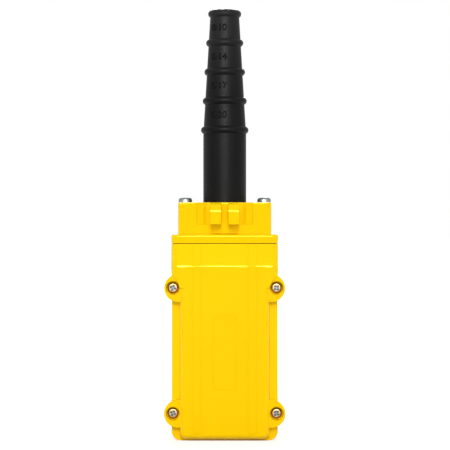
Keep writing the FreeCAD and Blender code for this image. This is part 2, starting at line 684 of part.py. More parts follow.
def make_cord_boot():
    """Stepped rubber sleeve. Each step can be cut off to suit a thicker cable."""
    base = at(0, 0, BODY_HEIGHT)
    up = at(0, 0, 1)
    first_ring = BOOT_HEIGHT - RIM_DROP
    ring_heights = [first_ring - step * RING_PITCH for step in range(BOOT_STEPS + 1)]
    outside = [(0, 0), (BOOT_FOOT_RADIUS, 0), (BOOT_FOOT_RADIUS, BOOT_FOOT_HEIGHT)]
    outside += [(BOOT_RADIUS, BOOT_FOOT_HEIGHT), (BOOT_RADIUS, ring_heights[-1])]
    bore = [(0, 0), (ROOT_BORE, 0)]
    for step in reversed(range(BOOT_STEPS)):
        foot = ring_heights[step + 1]
        top_radius = STEP_TOP_RADIUS + step * STEP_GROWTH
        outside += [(top_radius + STEP_TAPER, foot), (top_radius, ring_heights[step])]
        below = (CABLE_RADII + (ROOT_BORE,))[step + 1]
        bore += [(below, foot), (CABLE_RADII[step], foot + below - CABLE_RADII[step])]
    outside += [
        (STEP_TOP_RADIUS, BOOT_HEIGHT - ENTRY_ROUND),
        (STEP_TOP_RADIUS - ENTRY_ROUND, BOOT_HEIGHT),
        (0, BOOT_HEIGHT),
    ]
    bore += [
        (CABLE_RADII[0], BOOT_HEIGHT - ENTRY_ROUND),
        (CABLE_RADII[0] + ENTRY_ROUND, BOOT_HEIGHT),
        (0, BOOT_HEIGHT),
    ]
    rings = []
    for step, height in enumerate(ring_heights):
        stand = RING_STAND if step else RIM_STAND
        middle = STEP_TOP_RADIUS + step * STEP_GROWTH + stand - RING_RADIUS
        rings.append(Part.makeTorus(middle, RING_RADIUS, base + up * height))
    return fuse(turned(outside, base, up), *rings).cut(turned(bore, base, up))


def make_cap_seal():
    ring = level_slab(
        2 * SEAL_EDGE,
        (-HEAD_HALF + CAP_SEAL_INSET, HEAD_HALF - CAP_SEAL_INSET),
        (BODY_HEIGHT, CAP_FOOT),
        HEAD_CORNER - CAP_SEAL_INSET / 2,
    )
    ring = ring.cut(rod_z(FOOT_HOLE, (BODY_HEIGHT, CAP_FOOT)))
    for side in (-1, 1):
        x = side * CAP_SCREW_X
        ring = ring.cut(rod_z(M5_RADIUS + HOLE_CLEARANCE, (BODY_HEIGHT, CAP_FOOT), x))
    return ring


def make_cover_screws():
    along = at(0, 1, 0)
    return [
        pan_screw(M4_HEAD, M4_RADIUS, COVER_SCREW_LENGTH, at(x, SEAT_FACE, z), along, turn)
        for (x, z), turn in zip(screw_places(), COVER_SCREW_TURNS)
    ]


def make_cover_inserts():
    y = (SPLIT, SPLIT + INSERT_LENGTH)
    return [tube_y(INSERT_RADIUS, M4_RADIUS + THREAD_CLEARANCE, y, x, z) for x, z in screw_places()]


def cap_screw_x():
    return (-CAP_SCREW_X, CAP_SCREW_X)


def make_cap_screws():
    seat = CAP_TOP + CAP_WASHER[1]
    return [
        pan_screw(
            M5_HEAD, M5_RADIUS, CAP_SCREW_LENGTH, at(x, 0, seat), at(0, 0, -1), 0.0, CAP_HEAD_CROWN
        )
        for x in cap_screw_x()
    ]


def make_cap_washers():
    radius, thick = CAP_WASHER
    z = (CAP_TOP, CAP_TOP + thick)
    bore = M5_RADIUS + HOLE_CLEARANCE
    return [rod_z(radius, z, x).cut(rod_z(bore, z, x)) for x in cap_screw_x()]


def make_cap_inserts():
    z = (BODY_HEIGHT - INSERT_LENGTH, BODY_HEIGHT)
    bore = M5_RADIUS + THREAD_CLEARANCE
    return [rod_z(CAP_INSERT_RADIUS, z, x).cut(rod_z(bore, z, x)) for x in cap_screw_x()]


def make_clamp_strap():
    """Steel strap that presses the cable against the saddle in the case."""
    half = CLAMP_SCREW_X + CLAMP_POST
    z = (CLAMP_Z - CLAMP_WIDTH / 2, CLAMP_Z + CLAMP_WIDTH / 2)
    feet = box((-half, half), (CLAMP_SEAT - CLAMP_STRAP, CLAMP_SEAT), z)
    arch = rod_z(CLAMP_BORE + CLAMP_STRAP, z).cut(
        box((-half, half), (CLAMP_SEAT, CLAMP_SEAT + 2 * CLAMP_BORE), z)
    )
    strap = fuse(feet, arch).cut(rod_z(CLAMP_BORE, z))
    for side in (-1, 1):
        y = (CLAMP_SEAT - CLAMP_STRAP, CLAMP_SEAT)
        bore = M3_RADIUS + HOLE_CLEARANCE
        strap = strap.cut(rod_y(bore, y, side * CLAMP_SCREW_X, CLAMP_Z))
    return strap


def make_clamp_screws():
    seat = CLAMP_SEAT - CLAMP_STRAP
    length = CLAMP_SCREW_LENGTH
    return [
        pan_screw(M3_HEAD, M3_RADIUS, length, at(s * CLAMP_SCREW_X, seat, CLAMP_Z), at(0, 1, 0))
        for s in (-1, 1)
    ]


def make_button_boot(z):
    """Rubber dome over a button, with the edge that the retaining ring clamps."""
    edge_radius = GUARD_RADIUS - GUARD_WALL - FIT
    skirt = BUTTON_HOLE - FIT
    inner = skirt - DOME_WALL
    inner_top = DOME_TOP_RADIUS - DOME_WALL
    top = DOME_HEIGHT - DOME_WALL
    crown = DOME_HEIGHT - DOME_EDGE
    profile = [
        (0, DOME_HEIGHT),
        (DOME_TOP_RADIUS - DOME_EDGE, DOME_HEIGHT),
        (DOME_TOP_RADIUS, crown),
        (DOME_RADIUS, BOOT_PLATE),
        (edge_radius, BOOT_PLATE),
        (edge_radius, 0),
        (skirt, 0),
        (skirt, -WALL),
        (inner, -WALL),
        (inner, BOOT_PLATE),
        (inner_top, top),
        (0, top),
    ]
    return turned(profile, at(0, PLATE_FACE, z), at(0, 1, 0))


def make_retainer(z):
    """Ring inside the guard that holds the boot's edge down, with four key slots."""
    y = (PLATE_FACE + BOOT_PLATE, PLATE_FACE + BOOT_PLATE + RETAINER_HEIGHT)
    outer = GUARD_RADIUS - GUARD_WALL - FIT / 2
    ring = tube_y(outer, DOME_RADIUS + FIT, y, 0, z)
    half = RETAINER_SLOT / 2
    slot_y = (y[1] - RETAINER_HEIGHT / 2, y[1])
    for turn in range(2):
        slot = box((-outer, outer), slot_y, (z - half, z + half))
        slot.rotate(at(0, y[0], z), at(0, 1, 0), 45 + 90 * turn)
        ring = ring.cut(slot)
    return ring


def make_button(z):
    """Hard button under the rubber dome, with its stem."""
    top = DOME_FACE - DOME_WALL - FIT / 2
    head = rod_y(BUTTON_RADIUS, (top - BUTTON_HEAD, top), 0, z)
    head = round_edges(head, BUTTON_EDGE, on_level(top, 1))
    stem = rod_y(STEM_RADIUS, (PLUNGER_TOP, top - BUTTON_HEAD), 0, z)
    pin = rod_y(SOCKET_RADIUS - RUN, (PLUNGER_TOP - SOCKET_DEPTH, PLUNGER_TOP), 0, z)
    return fuse(head, stem, pin)


def make_plunger(z):
    """Square contact carrier that the stem pushes."""
    half = PLUNGER_SIZE / 2
    y = (PLUNGER_FOOT, PLUNGER_TOP)
    body = box((-half, half), y, (z - half, z + half))
    foot, height = PLUNGER_WINDOW
    window_y = (PLUNGER_FOOT + foot, PLUNGER_FOOT + foot + height)
    window = box((-half, half), window_y, (z - WINDOW_WIDTH / 2, z + WINDOW_WIDTH / 2))
    body = body.cut(window)
    body = body.cut(rod_y(SOCKET_RADIUS, (PLUNGER_TOP - SOCKET_DEPTH, PLUNGER_TOP), 0, z))
    spigot = rod_y(SPIGOT_RADIUS, (PLUNGER_FOOT - SPIGOT_LENGTH, PLUNGER_FOOT), 0, z)
    return fuse(body, spigot)


def make_bridge(z):
    """Moving contact bar with a silver tip at each end."""
    half = BRIDGE_WIDTH / 2
    y = (BRIDGE_SEAT, BRIDGE_SEAT + STRIP)
    bar = box((-BRIDGE_LENGTH / 2, BRIDGE_LENGTH / 2), y, (z - half, z + half))
    tips = [
        rod_y(TIP_RADIUS, (BRIDGE_SEAT - TIP_HEIGHT, BRIDGE_SEAT), s * TIP_SPACING / 2, z)
        for s in (-1, 1)
    ]
    return fuse(bar, *tips)


def make_contact_spring(z):
    foot = BRIDGE_SEAT + STRIP + SPRING_WIRE
    top = PLUNGER_FOOT + sum(PLUNGER_WINDOW) - SPRING_WIRE
    start = at(0, foot, z)
    return coil(CONTACT_SPRING_RADIUS, SPRING_WIRE, CONTACT_SPRING_TURNS, top - foot, start)


def make_return_spring(z):
    foot = SPRING_SEAT + SPRING_WIRE
    top = PLUNGER_FOOT - SPRING_WIRE
    start = at(0, foot, z)
    return coil(RETURN_SPRING_RADIUS, SPRING_WIRE, RETURN_SPRING_TURNS, top - foot, start)


def make_switch_base(z):
    """Moulded base of one switch: a cup, two terminal wings and two mounting ears."""
    half = SWITCH_WIDTH / 2
    rise = SWITCH_HEIGHT / 2
    body = box((-half, half), (SWITCH_BACK, SWITCH_TOP), (z - rise, z + rise))
    wing_y = (FIXED_FACE, FIXED_FACE + WING_DEPTH)
    wing_half = WING_WIDTH / 2
    reach = half + WING_LENGTH
    wings = box((-reach, reach), wing_y, (z - wing_half, z + wing_half))
    tab_half = EAR_PLATE_WIDTH / 2
    tab_reach = MOUNT_OFFSET + POST_RADIUS
    tab_y = (SWITCH_TOP - EAR_PLATE, SWITCH_TOP)
    tabs = box((-tab_half, tab_half), tab_y, (z - tab_reach, z + tab_reach))
    base = fuse(body, wings, tabs)
    inner = half - SWITCH_WALL
    inner_rise = rise - SWITCH_WALL
    cup_z = (z - inner_rise, z + inner_rise)
    cup = box((-inner, inner), (STRIP_BACK, SWITCH_TOP), cup_z)
    base = base.cut(cup)
    well_radius = RETURN_SPRING_RADIUS + SPRING_WIRE + FIT
    base = base.cut(rod_y(well_radius, (SPRING_SEAT, STRIP_BACK), 0, z))
    ledge = half - SWITCH_WALL / 2
    ledge_rise = rise - SWITCH_WALL / 2
    ledge_y = (SWITCH_TOP - GUIDE_PLATE, SWITCH_TOP)
    base = base.cut(box((-ledge, ledge), ledge_y, (z - ledge_rise, z + ledge_rise)))
    slot_half = CONTACT_WIDTH / 2 + RUN
    slot_y = (STRIP_BACK, FIXED_FACE)
    base = base.cut(box((-half, half), slot_y, (z - slot_half, z + slot_half)))
    for side in (-1, 1):
        place = z + side * MOUNT_OFFSET
        base = base.cut(rod_y(M3_RADIUS + HOLE_CLEARANCE, tab_y, 0, place))
        x = side * TERMINAL_OFFSET
        base = base.cut(rod_y(M3_RADIUS + THREAD_CLEARANCE, wing_y, x, z))
    return base


def make_guide_plate(z):
    """Plate that closes the switch base and guides the stem."""
    half = (SWITCH_WIDTH - SWITCH_WALL) / 2 - RUN
    rise = (SWITCH_HEIGHT - SWITCH_WALL) / 2 - RUN
    y = (SWITCH_TOP - GUIDE_PLATE, SWITCH_TOP)
    plate = box((-half, half), y, (z - rise, z + rise))
    return plate.cut(rod_y(STEM_RADIUS + RUN, y, 0, z))


def make_fixed_contacts(z):
    made = []
    reach = SWITCH_WIDTH / 2 + WING_LENGTH
    half = CONTACT_WIDTH / 2
    for side in (-1, 1):
        x = tuple(sorted((side * CONTACT_INNER, side * reach)))
        y = (STRIP_BACK, FIXED_FACE)
        strip = box(x, y, (z - half, z + half))
        tip = rod_y(TIP_RADIUS, (FIXED_FACE, FIXED_TIP), side * TIP_SPACING / 2, z)
        bore = rod_y(M3_RADIUS + HOLE_CLEARANCE, y, side * TERMINAL_OFFSET, z)
        made.append(fuse(strip, tip).cut(bore))
    return made


def make_wire_clamps(z):
    """Square clamping washers under the terminal screws."""
    half = CONTACT_WIDTH / 2
    y = (CLAMP_BACK, STRIP_BACK)
    made = []
    for side in (-1, 1):
        x = side * TERMINAL_OFFSET
        plate = box((x - half, x + half), y, (z - half, z + half))
        made.append(plate.cut(rod_y(M3_RADIUS + HOLE_CLEARANCE, y, x, z)))
    return made


def make_terminal_screws(z):
    seat = at(0, CLAMP_BACK, z)
    aside = at(TERMINAL_OFFSET, 0, 0)
    return [
        pan_screw(M3_HEAD, M3_RADIUS, WING_DEPTH, seat + aside * s, at(0, 1, 0))
        for s in (-1, 1)
    ]


def make_mounting_screws():
    seat = SWITCH_TOP - EAR_PLATE
    length = EAR_PLATE + SWITCH_GAP - WALL - HOLE_CLEARANCE
    return [
        pan_screw(M3_HEAD, M3_RADIUS, length, at(0, seat, z + s * MOUNT_OFFSET), at(0, 1, 0))
        for z in BUTTON_Z
        for s in (-1, 1)
    ]


def save(name, pieces):
    """Writes one node as a STEP file and prints its size."""
    shapes = pieces if isinstance(pieces, list) else [pieces]
    solids = [solid for shape in shapes for solid in shape.Solids]
    for solid in solids:
        if not solid.isValid() or solid.Volume <= 0:
            print("not a sound solid:", name, solid.Volume)
    whole = solids[0] if len(solids) == 1 else Part.makeCompound(solids)
    whole.exportStep(os.path.join("parts", name + ".step"))
    print(name, len(solids), round(sum(s.Volume for s in solids), 1))


def main():
    os.makedirs("parts", exist_ok=True)
    save("front_case", make_front_case())
    save("back_cover", make_back_cover())
    save("top_cap", make_top_cap())
    save("cord_boot", make_cord_boot())
    save("cover_seal", seal_ring((SPLIT - SEAL_GROOVE, SPLIT)))
    save("cap_seal", make_cap_seal())
    save("cover_screws", make_cover_screws())
    save("cover_screw_inserts", make_cover_inserts())
    save("cap_screws", make_cap_screws())
    save("cap_washers", make_cap_washers())
    save("cap_screw_inserts", make_cap_inserts())
    save("cable_clamp_strap", make_clamp_strap())
    save("cable_clamp_screws", make_clamp_screws())
    save("switch_mounting_screws", make_mounting_screws())
    for name, z in zip(BUTTON_NAMES, BUTTON_Z):
        save(name + "_button_boot", make_button_boot(z))
        save(name + "_retaining_ring", make_retainer(z))
        save(name + "_button", make_button(z))
        save(name + "_contact_carrier", make_plunger(z))
        save(name + "_contact_bridge", make_bridge(z))
        save(name + "_contact_spring", make_contact_spring(z))
        save(name + "_return_spring", make_return_spring(z))
        save(name + "_switch_base", make_switch_base(z))
        save(name + "_guide_plate", make_guide_plate(z))
        save(name + "_fixed_contacts", make_fixed_contacts(z))
        save(name + "_wire_clamps", make_wire_clamps(z))
        save(name + "_terminal_screws", make_terminal_screws(z))


main()
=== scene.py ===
"""Two-button hoist pendant: finishes, rubber parts, springs and a small studio around the packed model.

Every length is in metres, in the model's own frame: +Z up, +Y out of the face with the buttons.
"""

import math

import bmesh
import bpy
from bpy.props import FloatProperty, FloatVectorProperty, IntProperty, PointerProperty
from mathutils import Matrix, Vector


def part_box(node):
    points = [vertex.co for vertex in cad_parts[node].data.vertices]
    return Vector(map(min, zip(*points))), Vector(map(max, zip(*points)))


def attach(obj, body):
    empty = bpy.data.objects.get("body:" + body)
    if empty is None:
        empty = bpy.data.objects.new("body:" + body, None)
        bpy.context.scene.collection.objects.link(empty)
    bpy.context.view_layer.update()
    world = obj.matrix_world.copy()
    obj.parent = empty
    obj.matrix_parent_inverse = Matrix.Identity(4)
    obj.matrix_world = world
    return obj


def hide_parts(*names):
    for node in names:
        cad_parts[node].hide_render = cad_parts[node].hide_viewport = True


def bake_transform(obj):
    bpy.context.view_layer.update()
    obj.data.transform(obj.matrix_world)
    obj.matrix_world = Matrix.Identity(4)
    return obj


bl_info = {
    "name": "Hoist pendant",
    "version": (1, 0, 0),
    "blender": (4, 5, 0),
    "location": "View3D > Sidebar > Pendant",
    "description": "Dresses the construction model of a two-button hoist pendant",
    "category": "Object",
}

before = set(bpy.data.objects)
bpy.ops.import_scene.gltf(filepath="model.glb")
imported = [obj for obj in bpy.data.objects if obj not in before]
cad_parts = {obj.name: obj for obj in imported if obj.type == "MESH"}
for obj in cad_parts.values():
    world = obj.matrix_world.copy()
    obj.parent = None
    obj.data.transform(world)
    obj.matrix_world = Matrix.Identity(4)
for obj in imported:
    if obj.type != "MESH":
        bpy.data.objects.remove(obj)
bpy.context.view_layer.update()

MM = 0.001
BUTTONS = ("lower", "upper")
HOUSING = "housing"

# Points of one piece that are nearer than this become one
WELD = 1e-7

# Thickness in millimetres of the cables that the boot's steps take, from the top down
CABLE_SIZES = (10, 14, 17, 20)

# Font size that makes a capital letter one unit high
CAPITAL = 1.38

# Facets of the rounded outlines: along a bead, along a hollow, and round a dome
BEAD_STEPS = 14
HOLLOW_STEPS = 6
DOME_STEPS = 72

# The boot's flat rim beside its bead, the lead into its bore, and how many steps are paler
RIM_FLAT = 1.2 * MM
MOUTH_LEAD = 1.0 * MM
PALER_STEPS = 3

# The rubber domes: lead round the foot, neck, bead with the share of the height that it
# stands at, rounding of the crown, and draft inside
DOME_LEAD = 0.1 * MM
DOME_NECK_IN = 0.35 * MM
DOME_NECK_UP = 0.5 * MM
DOME_BEAD = 0.9 * MM
DOME_BEAD_AT = 0.3
DOME_CROWN = 1.6 * MM
DOME_DRAFT = 0.3 * MM

# First and last degree of the dome's two roundings, and their facets
DOME_BEAD_ARC = (-60, 50, 6)
DOME_CROWN_ARC = (10, 90, 8)

# Shares of an arrow's length: half the head, half the stem, and the foot of the head
ARROW_HEAD = 0.36
ARROW_STEM = 0.13
ARROW_SHOULDER = 0.02

# An arrow's bevelled edge, and how far its face stays under the top of the dome's box
ARROW_EDGE = 0.2 * MM
ARROW_SINK = 0.02 * MM

# The springs' wire, its facets round and for each turn, and the turns of each spring
WIRE_RADIUS = 0.25 * MM
WIRE_SIDES = 8
COIL_STEPS = 28
RETURN_TURNS = 3.9
CONTACT_TURNS = 4.0

# The stage: width of the film in millimetres, end of the view, and half the floor
WHITE = (1.0, 1.0, 1.0, 1.0)
FILM_WIDTH = 36.0
VIEW_END = 50.0
FLOOR_HALF = 20.0

# The two directions across a screw that stands along Y, and along Z
ACROSS_Y = (1.0, 0.0, 1.0)
ACROSS_Z = (1.0, 1.0, 0.0)

# Where the painted shade starts and where it is full, from the top of the screws' heads
WELL_DEPTH = (-3.2 * MM, -1.2 * MM)
COVER_SCREW_DEPTH = (0.15 * MM, 0.9 * MM)
CAP_SCREW_DEPTH = (-0.6 * MM, -1.2 * MM)

# How far a screw's axis stands in from the corner of the screws' box, and how far the painted shade
# goes
WELL_REACH = (3.5 * MM, 4.75 * MM)
COVER_SCREW_REACH = (3.6 * MM, 2.3 * MM)
CAP_SCREW_REACH = (4.75 * MM, 2.85 * MM)

# Shares of the zinc's red, green and blue: a darker copy for the cover screws, painted shade of the
# wells they sit in; a darker bluish copy for the cap screws, painted shade with a painted bluish
# reflection; and the springs' steel
COVER_SCREW_SHADE_TONE = (0.37, 0.37, 0.37)
CAP_SCREW_SHADE_TONE = (0.66, 0.7, 0.7)
SPRING_TONE = (0.7, 0.7, 0.7)

# Share of the painted shade's colour in the recesses of the cover screws
COVER_SHADE_TONE = (0.45, 0.45, 0.45)

# Shares of the painted shade's reach: its soft end, the bright middle that it spares, and where the
# rim's painted reflection starts
SHADE_END = 1.1
BRIGHT_MIDDLE = (0.2, 0.45)
RIM_START = (0.8, 1.2)


def node_box(name):
    """Low and high corner of a CAD node."""
    low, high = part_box(name)
    return Vector(low), Vector(high)


BOOT_LOW, BOOT_HIGH = node_box("cord_boot")


class PendantFinish(bpy.types.PropertyGroup):
    """Colours of the pendant's materials, as light values."""

    housing: FloatVectorProperty(
        name="Housing",
        description="Yellow of the moulded housing",
        subtype="COLOR",
        min=0.0,
        max=1.0,
        default=(0.98, 0.63, 0.0),
    )
    housing_deep: FloatVectorProperty(
        name="Housing, deeper",
        description="Slightly redder yellow that the moulding flows into",
        subtype="COLOR",
        min=0.0,
        max=1.0,
        default=(0.97, 0.6, 0.0),
    )
    # Painted shade: the darker yellow that ambient occlusion blends corners, creases and gaps towards
    housing_corner: FloatVectorProperty(
        name="Housing, corners",
        description="Darker yellow in the corners and gaps of the moulding",
        subtype="COLOR",
        min=0.0,
        max=1.0,
        default=(0.88, 0.46, 0.0),
    )
    # Painted shade: the brown yellow that the wells round the cover screws are blended towards
    well: FloatVectorProperty(
        name="Screw wells",
        description="Brown yellow of the wells that the cover screws stand in",
        subtype="COLOR",
        min=0.0,
        max=1.0,
        default=(0.87, 0.5, 0.0),
    )
    rubber: FloatVectorProperty(
        name="Rubber",
        description="Black of the cord boot and the button boots",
        subtype="COLOR",
        min=0.0,
        max=1.0,
        default=(0.0042, 0.0041, 0.0042),
    )
    mark: FloatVectorProperty(
        name="Size marks",
        description="Polished rubber of the moulded sizes",
        subtype="COLOR",
        min=0.0,
        max=1.0,
        default=(0.0015, 0.0015, 0.0015),
    )
    rubber_bloom: FloatVectorProperty(
        name="Rubber bloom",
        description="Grey bloom on the rubber",
        subtype="COLOR",
        min=0.0,
        max=1.0,
        default=(0.0075, 0.0073, 0.0073),
    )
    # Paler rubber that the cord boot is blended towards higher up
    rubber_worn: FloatVectorProperty(
        name="Rubber, worn",
        description="Paler rubber at the top of the cord boot",
        subtype="COLOR",
        min=0.0,
        max=1.0,
        default=(0.019, 0.0185, 0.0195),
    )
    # The seals are rubber; their orange brown is also the painted shade of the seam gap round them
    seal: FloatVectorProperty(
        name="Seals",
        description="Brown rubber of the seals",
        subtype="COLOR",
        min=0.0,
        max=1.0,
        default=(0.26, 0.085, 0.01),
    )
    zinc: FloatVectorProperty(
        name="Zinc",
        description="Plated screws and washers",
        subtype="COLOR",
        min=0.0,
        max=1.0,
        default=(0.42, 0.425, 0.42),
    )
    # Painted reflection: the brown that the shaded yellow well gives the rims of the cover screws'
    # heads
    screw_rim: FloatVectorProperty(
        name="Screw rims",
        description="Brown rim of the cover screws' heads",
        subtype="COLOR",
        min=0.0,
        max=1.0,
        default=(0.4, 0.26, 0.08),
    )
    # Painted shade: the dark that the screws' recesses are blended towards
    soil: FloatVectorProperty(
        name="Soil",
        description="Dark of the screws' recesses",
        subtype="COLOR",
        min=0.0,
        max=1.0,
        default=(0.11, 0.105, 0.095),
    )
    brass: FloatVectorProperty(
        name="Brass",
        description="Screw inserts and contact strips",
        subtype="COLOR",
        min=0.0,
        max=1.0,
        default=(0.72, 0.5, 0.2),
    )
    switch_black: FloatVectorProperty(
        name="Switch black",
        description="Phenolic switch bases and rings",
        subtype="COLOR",
        min=0.0,
        max=1.0,
        default=(0.02, 0.02, 0.022),
    )
    switch_red: FloatVectorProperty(
        name="Switch red",
        description="Guide plates and contact carriers",
        subtype="COLOR",
        min=0.0,
        max=1.0,
        default=(0.35, 0.06, 0.035),
    )
    sign: FloatVectorProperty(
        name="Arrow",
        description="Raised arrows on the button boots",
        subtype="COLOR",
        min=0.0,
        max=1.0,
        default=(0.78, 0.78, 0.76),
    )


class PendantBoot(bpy.types.PropertyGroup):
    """Sizes of the stepped cord boot."""

    steps: IntProperty(
        name="Steps", description="Steps that can be cut off",
        min=1, max=len(CABLE_SIZES), default=len(CABLE_SIZES),
    )
    pitch: FloatProperty(
        name="Ring pitch", description="Ring to ring", subtype="DISTANCE", default=20.3 * MM
    )
    rim_drop: FloatProperty(
        name="Rim drop",
        description="Top of the boot down to the middle of its rim",
        subtype="DISTANCE",
        default=2.9 * MM,
    )
    top_radius: FloatProperty(
        name="Top radius",
        description="Outer radius at the top of the highest step",
        subtype="DISTANCE",
        default=10.15 * MM,
    )
    growth: FloatProperty(
        name="Growth", description="Radius added at each step", subtype="DISTANCE", default=1.2 * MM
    )
    taper: FloatProperty(
        name="Taper",
        description="Radius added from the top of a step to its foot",
        subtype="DISTANCE",
        default=0.9 * MM,
    )
    ring_radius: FloatProperty(
        name="Ring bead", description="Radius of a bead", subtype="DISTANCE", default=2.6 * MM
    )
    ring_stand: FloatProperty(
        name="Ring stand",
        description="How far a bead stands out of the step below it",
        subtype="DISTANCE",
        default=1.68 * MM,
    )
    rim_stand: FloatProperty(
        name="Rim stand",
        description="The same for the top bead",
        subtype="DISTANCE",
        default=1.45 * MM,
    )
    hollow: FloatProperty(
        name="Hollow", description="Radius of the hollow above each bead", subtype="DISTANCE",
        default=0.35 * MM,
    )
    sleeve_radius: FloatProperty(
        name="Sleeve radius",
        description="Straight lower length",
        subtype="DISTANCE",
        default=15.0 * MM,
    )
    foot_height: FloatProperty(
        name="Foot height",
        description="Clamped foot under the cap",
        subtype="DISTANCE",
        default=5.2 * MM,
    )
    root_bore: FloatProperty(
        name="Root bore", description="Bore at the foot", subtype="DISTANCE", default=11.5 * MM
    )
    mark_height: FloatProperty(
        name="Mark height", description="Height of the moulded sizes", subtype="DISTANCE",
        default=4.6 * MM,
    )
    mark_stand: FloatProperty(
        name="Mark stand", description="How far the sizes stand out", subtype="DISTANCE",
        default=0.35 * MM,
    )
    mark_bold: FloatProperty(
        name="Mark bold", description="Added all round the strokes of the sizes",
        subtype="DISTANCE", default=0.1 * MM,
    )
    sign_bold: FloatProperty(
        name="Sign bold", description="The same for the diameter sign", subtype="DISTANCE",
        default=-0.02 * MM,
    )
    sign_aside: FloatProperty(
        name="Sign aside", description="Middle of the diameter sign from the middle line",
        subtype="DISTANCE", default=-8.3 * MM,
    )
    number_aside: FloatProperty(
        name="Number aside", description="Middle of the numbers from the middle line",
        subtype="DISTANCE", default=-1.7 * MM,
    )


class PendantButtons(bpy.types.PropertyGroup):
    """Sizes of the rubber domes over the two buttons."""

    plate: FloatProperty(
        name="Edge", description="Thickness of the clamped edge", subtype="DISTANCE",
        default=2.0 * MM,
    )
    dome_radius: FloatProperty(
        name="Dome radius", description="At its foot", subtype="DISTANCE", default=12.5 * MM
    )
    top_radius: FloatProperty(
        name="Top radius", description="At its crown", subtype="DISTANCE", default=10.6 * MM
    )
    wall: FloatProperty(
        name="Wall", description="Wall of the dome", subtype="DISTANCE", default=1.5 * MM
    )
    arrow_length: FloatProperty(
        name="Arrow", description="Length of the raised arrow", subtype="DISTANCE",
        default=11.0 * MM,
    )
    arrow_stand: FloatProperty(
        name="Arrow stand", description="How far the arrow stands out", subtype="DISTANCE",
        default=0.35 * MM,
    )


class PendantStage(bpy.types.PropertyGroup):
    """Camera, lamps and floor."""

    camera_distance: FloatProperty(
        name="Distance", description="Camera to the boot's axis", subtype="DISTANCE", default=1.5
    )
    camera_height: FloatProperty(
        name="Height", description="Camera above the base", subtype="DISTANCE", default=0.1488
    )
    camera_side: FloatProperty(
        name="Side", description="Camera right of the boot's axis", subtype="DISTANCE",
        default=0.0002,
    )
    view_width: FloatProperty(
        name="View width", description="Width of the picture at the boot's axis",
        subtype="DISTANCE", default=0.315,
    )
    sky: FloatProperty(name="Sky", description="Light from all round", min=0.0, default=0.2)
    strip: FloatProperty(name="Strip", description="Share of the strips", min=0.0, default=0.5)
    high: FloatProperty(name="High", description="Share of the high lamps", min=0.0, default=0.15)
    low: FloatProperty(name="Low", description="Share of the low lamps", min=0.0, default=0.1)
    shine: FloatProperty(
        name="Shine", description="Share of each square metre of the back lamp of the gloss",
        min=0.0, default=1.1,
    )
    shine_front: FloatProperty(
        name="Shine, front", description="The same for the front lamp of the gloss",
        min=0.0, default=0.33,
    )
    side: FloatProperty(name="Side", description="Share of the side lamps", min=0.0, default=0.32)
    lamp_distance: FloatProperty(
        name="Lamp distance", description="Lamps to the pendant", subtype="DISTANCE", default=5.0
    )
    lamp_aim: FloatProperty(
        name="Lamp aim", description="Height that the lamps look at", subtype="DISTANCE",
        default=0.09,
    )
    floor_tone: FloatProperty(
        name="Floor tone", description="Grey of the floor", min=0.0, max=1.0, default=0.55
    )
    floor_glow: FloatProperty(
        name="Floor glow", description="White added to the floor near the pendant, as it is seen",
        min=0.0, default=0.55,
    )
    floor_near: FloatProperty(
        name="Floor near", description="Where the floor starts to turn white",
        subtype="DISTANCE", default=0.14,
    )
    floor_far: FloatProperty(
        name="Floor far", description="Where the floor is all white",
        subtype="DISTANCE", default=0.6,
    )


def new_material(name):
    """Material with its tree and its main shader."""
    material = bpy.data.materials.new(name)
    material.use_nodes = True
    tree = material.node_tree
    shader = tree.nodes["Principled BSDF"]
    return material, tree, shader


def object_place(tree):
    """Object coordinates, which are the frame's own on every piece."""
    return tree.nodes.new("ShaderNodeTexCoord").outputs["Object"]


def noise(tree, scale, detail=2.0, roughness=0.5, stretch=(1.0, 1.0, 1.0)):
    """Noise on object coordinates, its scale counted per metre."""
    mapping = tree.nodes.new("ShaderNodeMapping")
    mapping.inputs["Scale"].default_value = stretch
    texture = tree.nodes.new("ShaderNodeTexNoise")
    texture.inputs["Scale"].default_value = scale
    texture.inputs["Detail"].default_value = detail
    texture.inputs["Roughness"].default_value = roughness
    tree.links.new(object_place(tree), mapping.inputs["Vector"])
    tree.links.new(mapping.outputs["Vector"], texture.inputs["Vector"])
    return texture.outputs["Fac"]


def ramp(tree, value, low, high, low_at=0.35, high_at=0.65):
    """Turns low_at to high_at of a value into low to high, and stops at both."""
    spread = tree.nodes.new("ShaderNodeMapRange")
    spread.inputs["From Min"].default_value = low_at
    spread.inputs["From Max"].default_value = high_at
    spread.inputs["To Min"].default_value = low
    spread.inputs["To Max"].default_value = high
    tree.links.new(value, spread.inputs["Value"])
    return spread.outputs["Result"]


def arithmetic(tree, operation, first, second):
    """One step of arithmetic with two linked numbers."""
    step = tree.nodes.new("ShaderNodeMath")
    step.operation = operation
    tree.links.new(first, step.inputs[0])
    tree.links.new(second, step.inputs[1])
    return step.outputs[0]


def vector_step(tree, operation, value, other=None):
    """One step of vector arithmetic."""
    step = tree.nodes.new("ShaderNodeVectorMath")
    step.operation = operation
    tree.links.new(value, step.inputs[0])
    if other:
        step.inputs[1].default_value = other
    return step.outputs["Value" if operation == "LENGTH" else "Vector"]


def blend_colours(tree, factor, first, second):
    """Mix of two colours, of which the first may be the output of a node."""
    mix = tree.nodes.new("ShaderNodeMix")
    mix.data_type = "RGBA"
    if isinstance(first, bpy.types.NodeSocket):
        tree.links.new(first, mix.inputs["A"])
    else:
        mix.inputs["A"].default_value = (*first, 1.0)
    mix.inputs["B"].default_value = (*second, 1.0)
    tree.links.new(factor, mix.inputs["Factor"])
    return mix.outputs["Result"]


def recolour(tree, factor, colour):
    """Blends the colour that a material has so far towards another one."""
    base = tree.nodes["Principled BSDF"].inputs["Base Color"]
    tree.links.new(blend_colours(tree, factor, base.links[0].from_socket, colour), base)


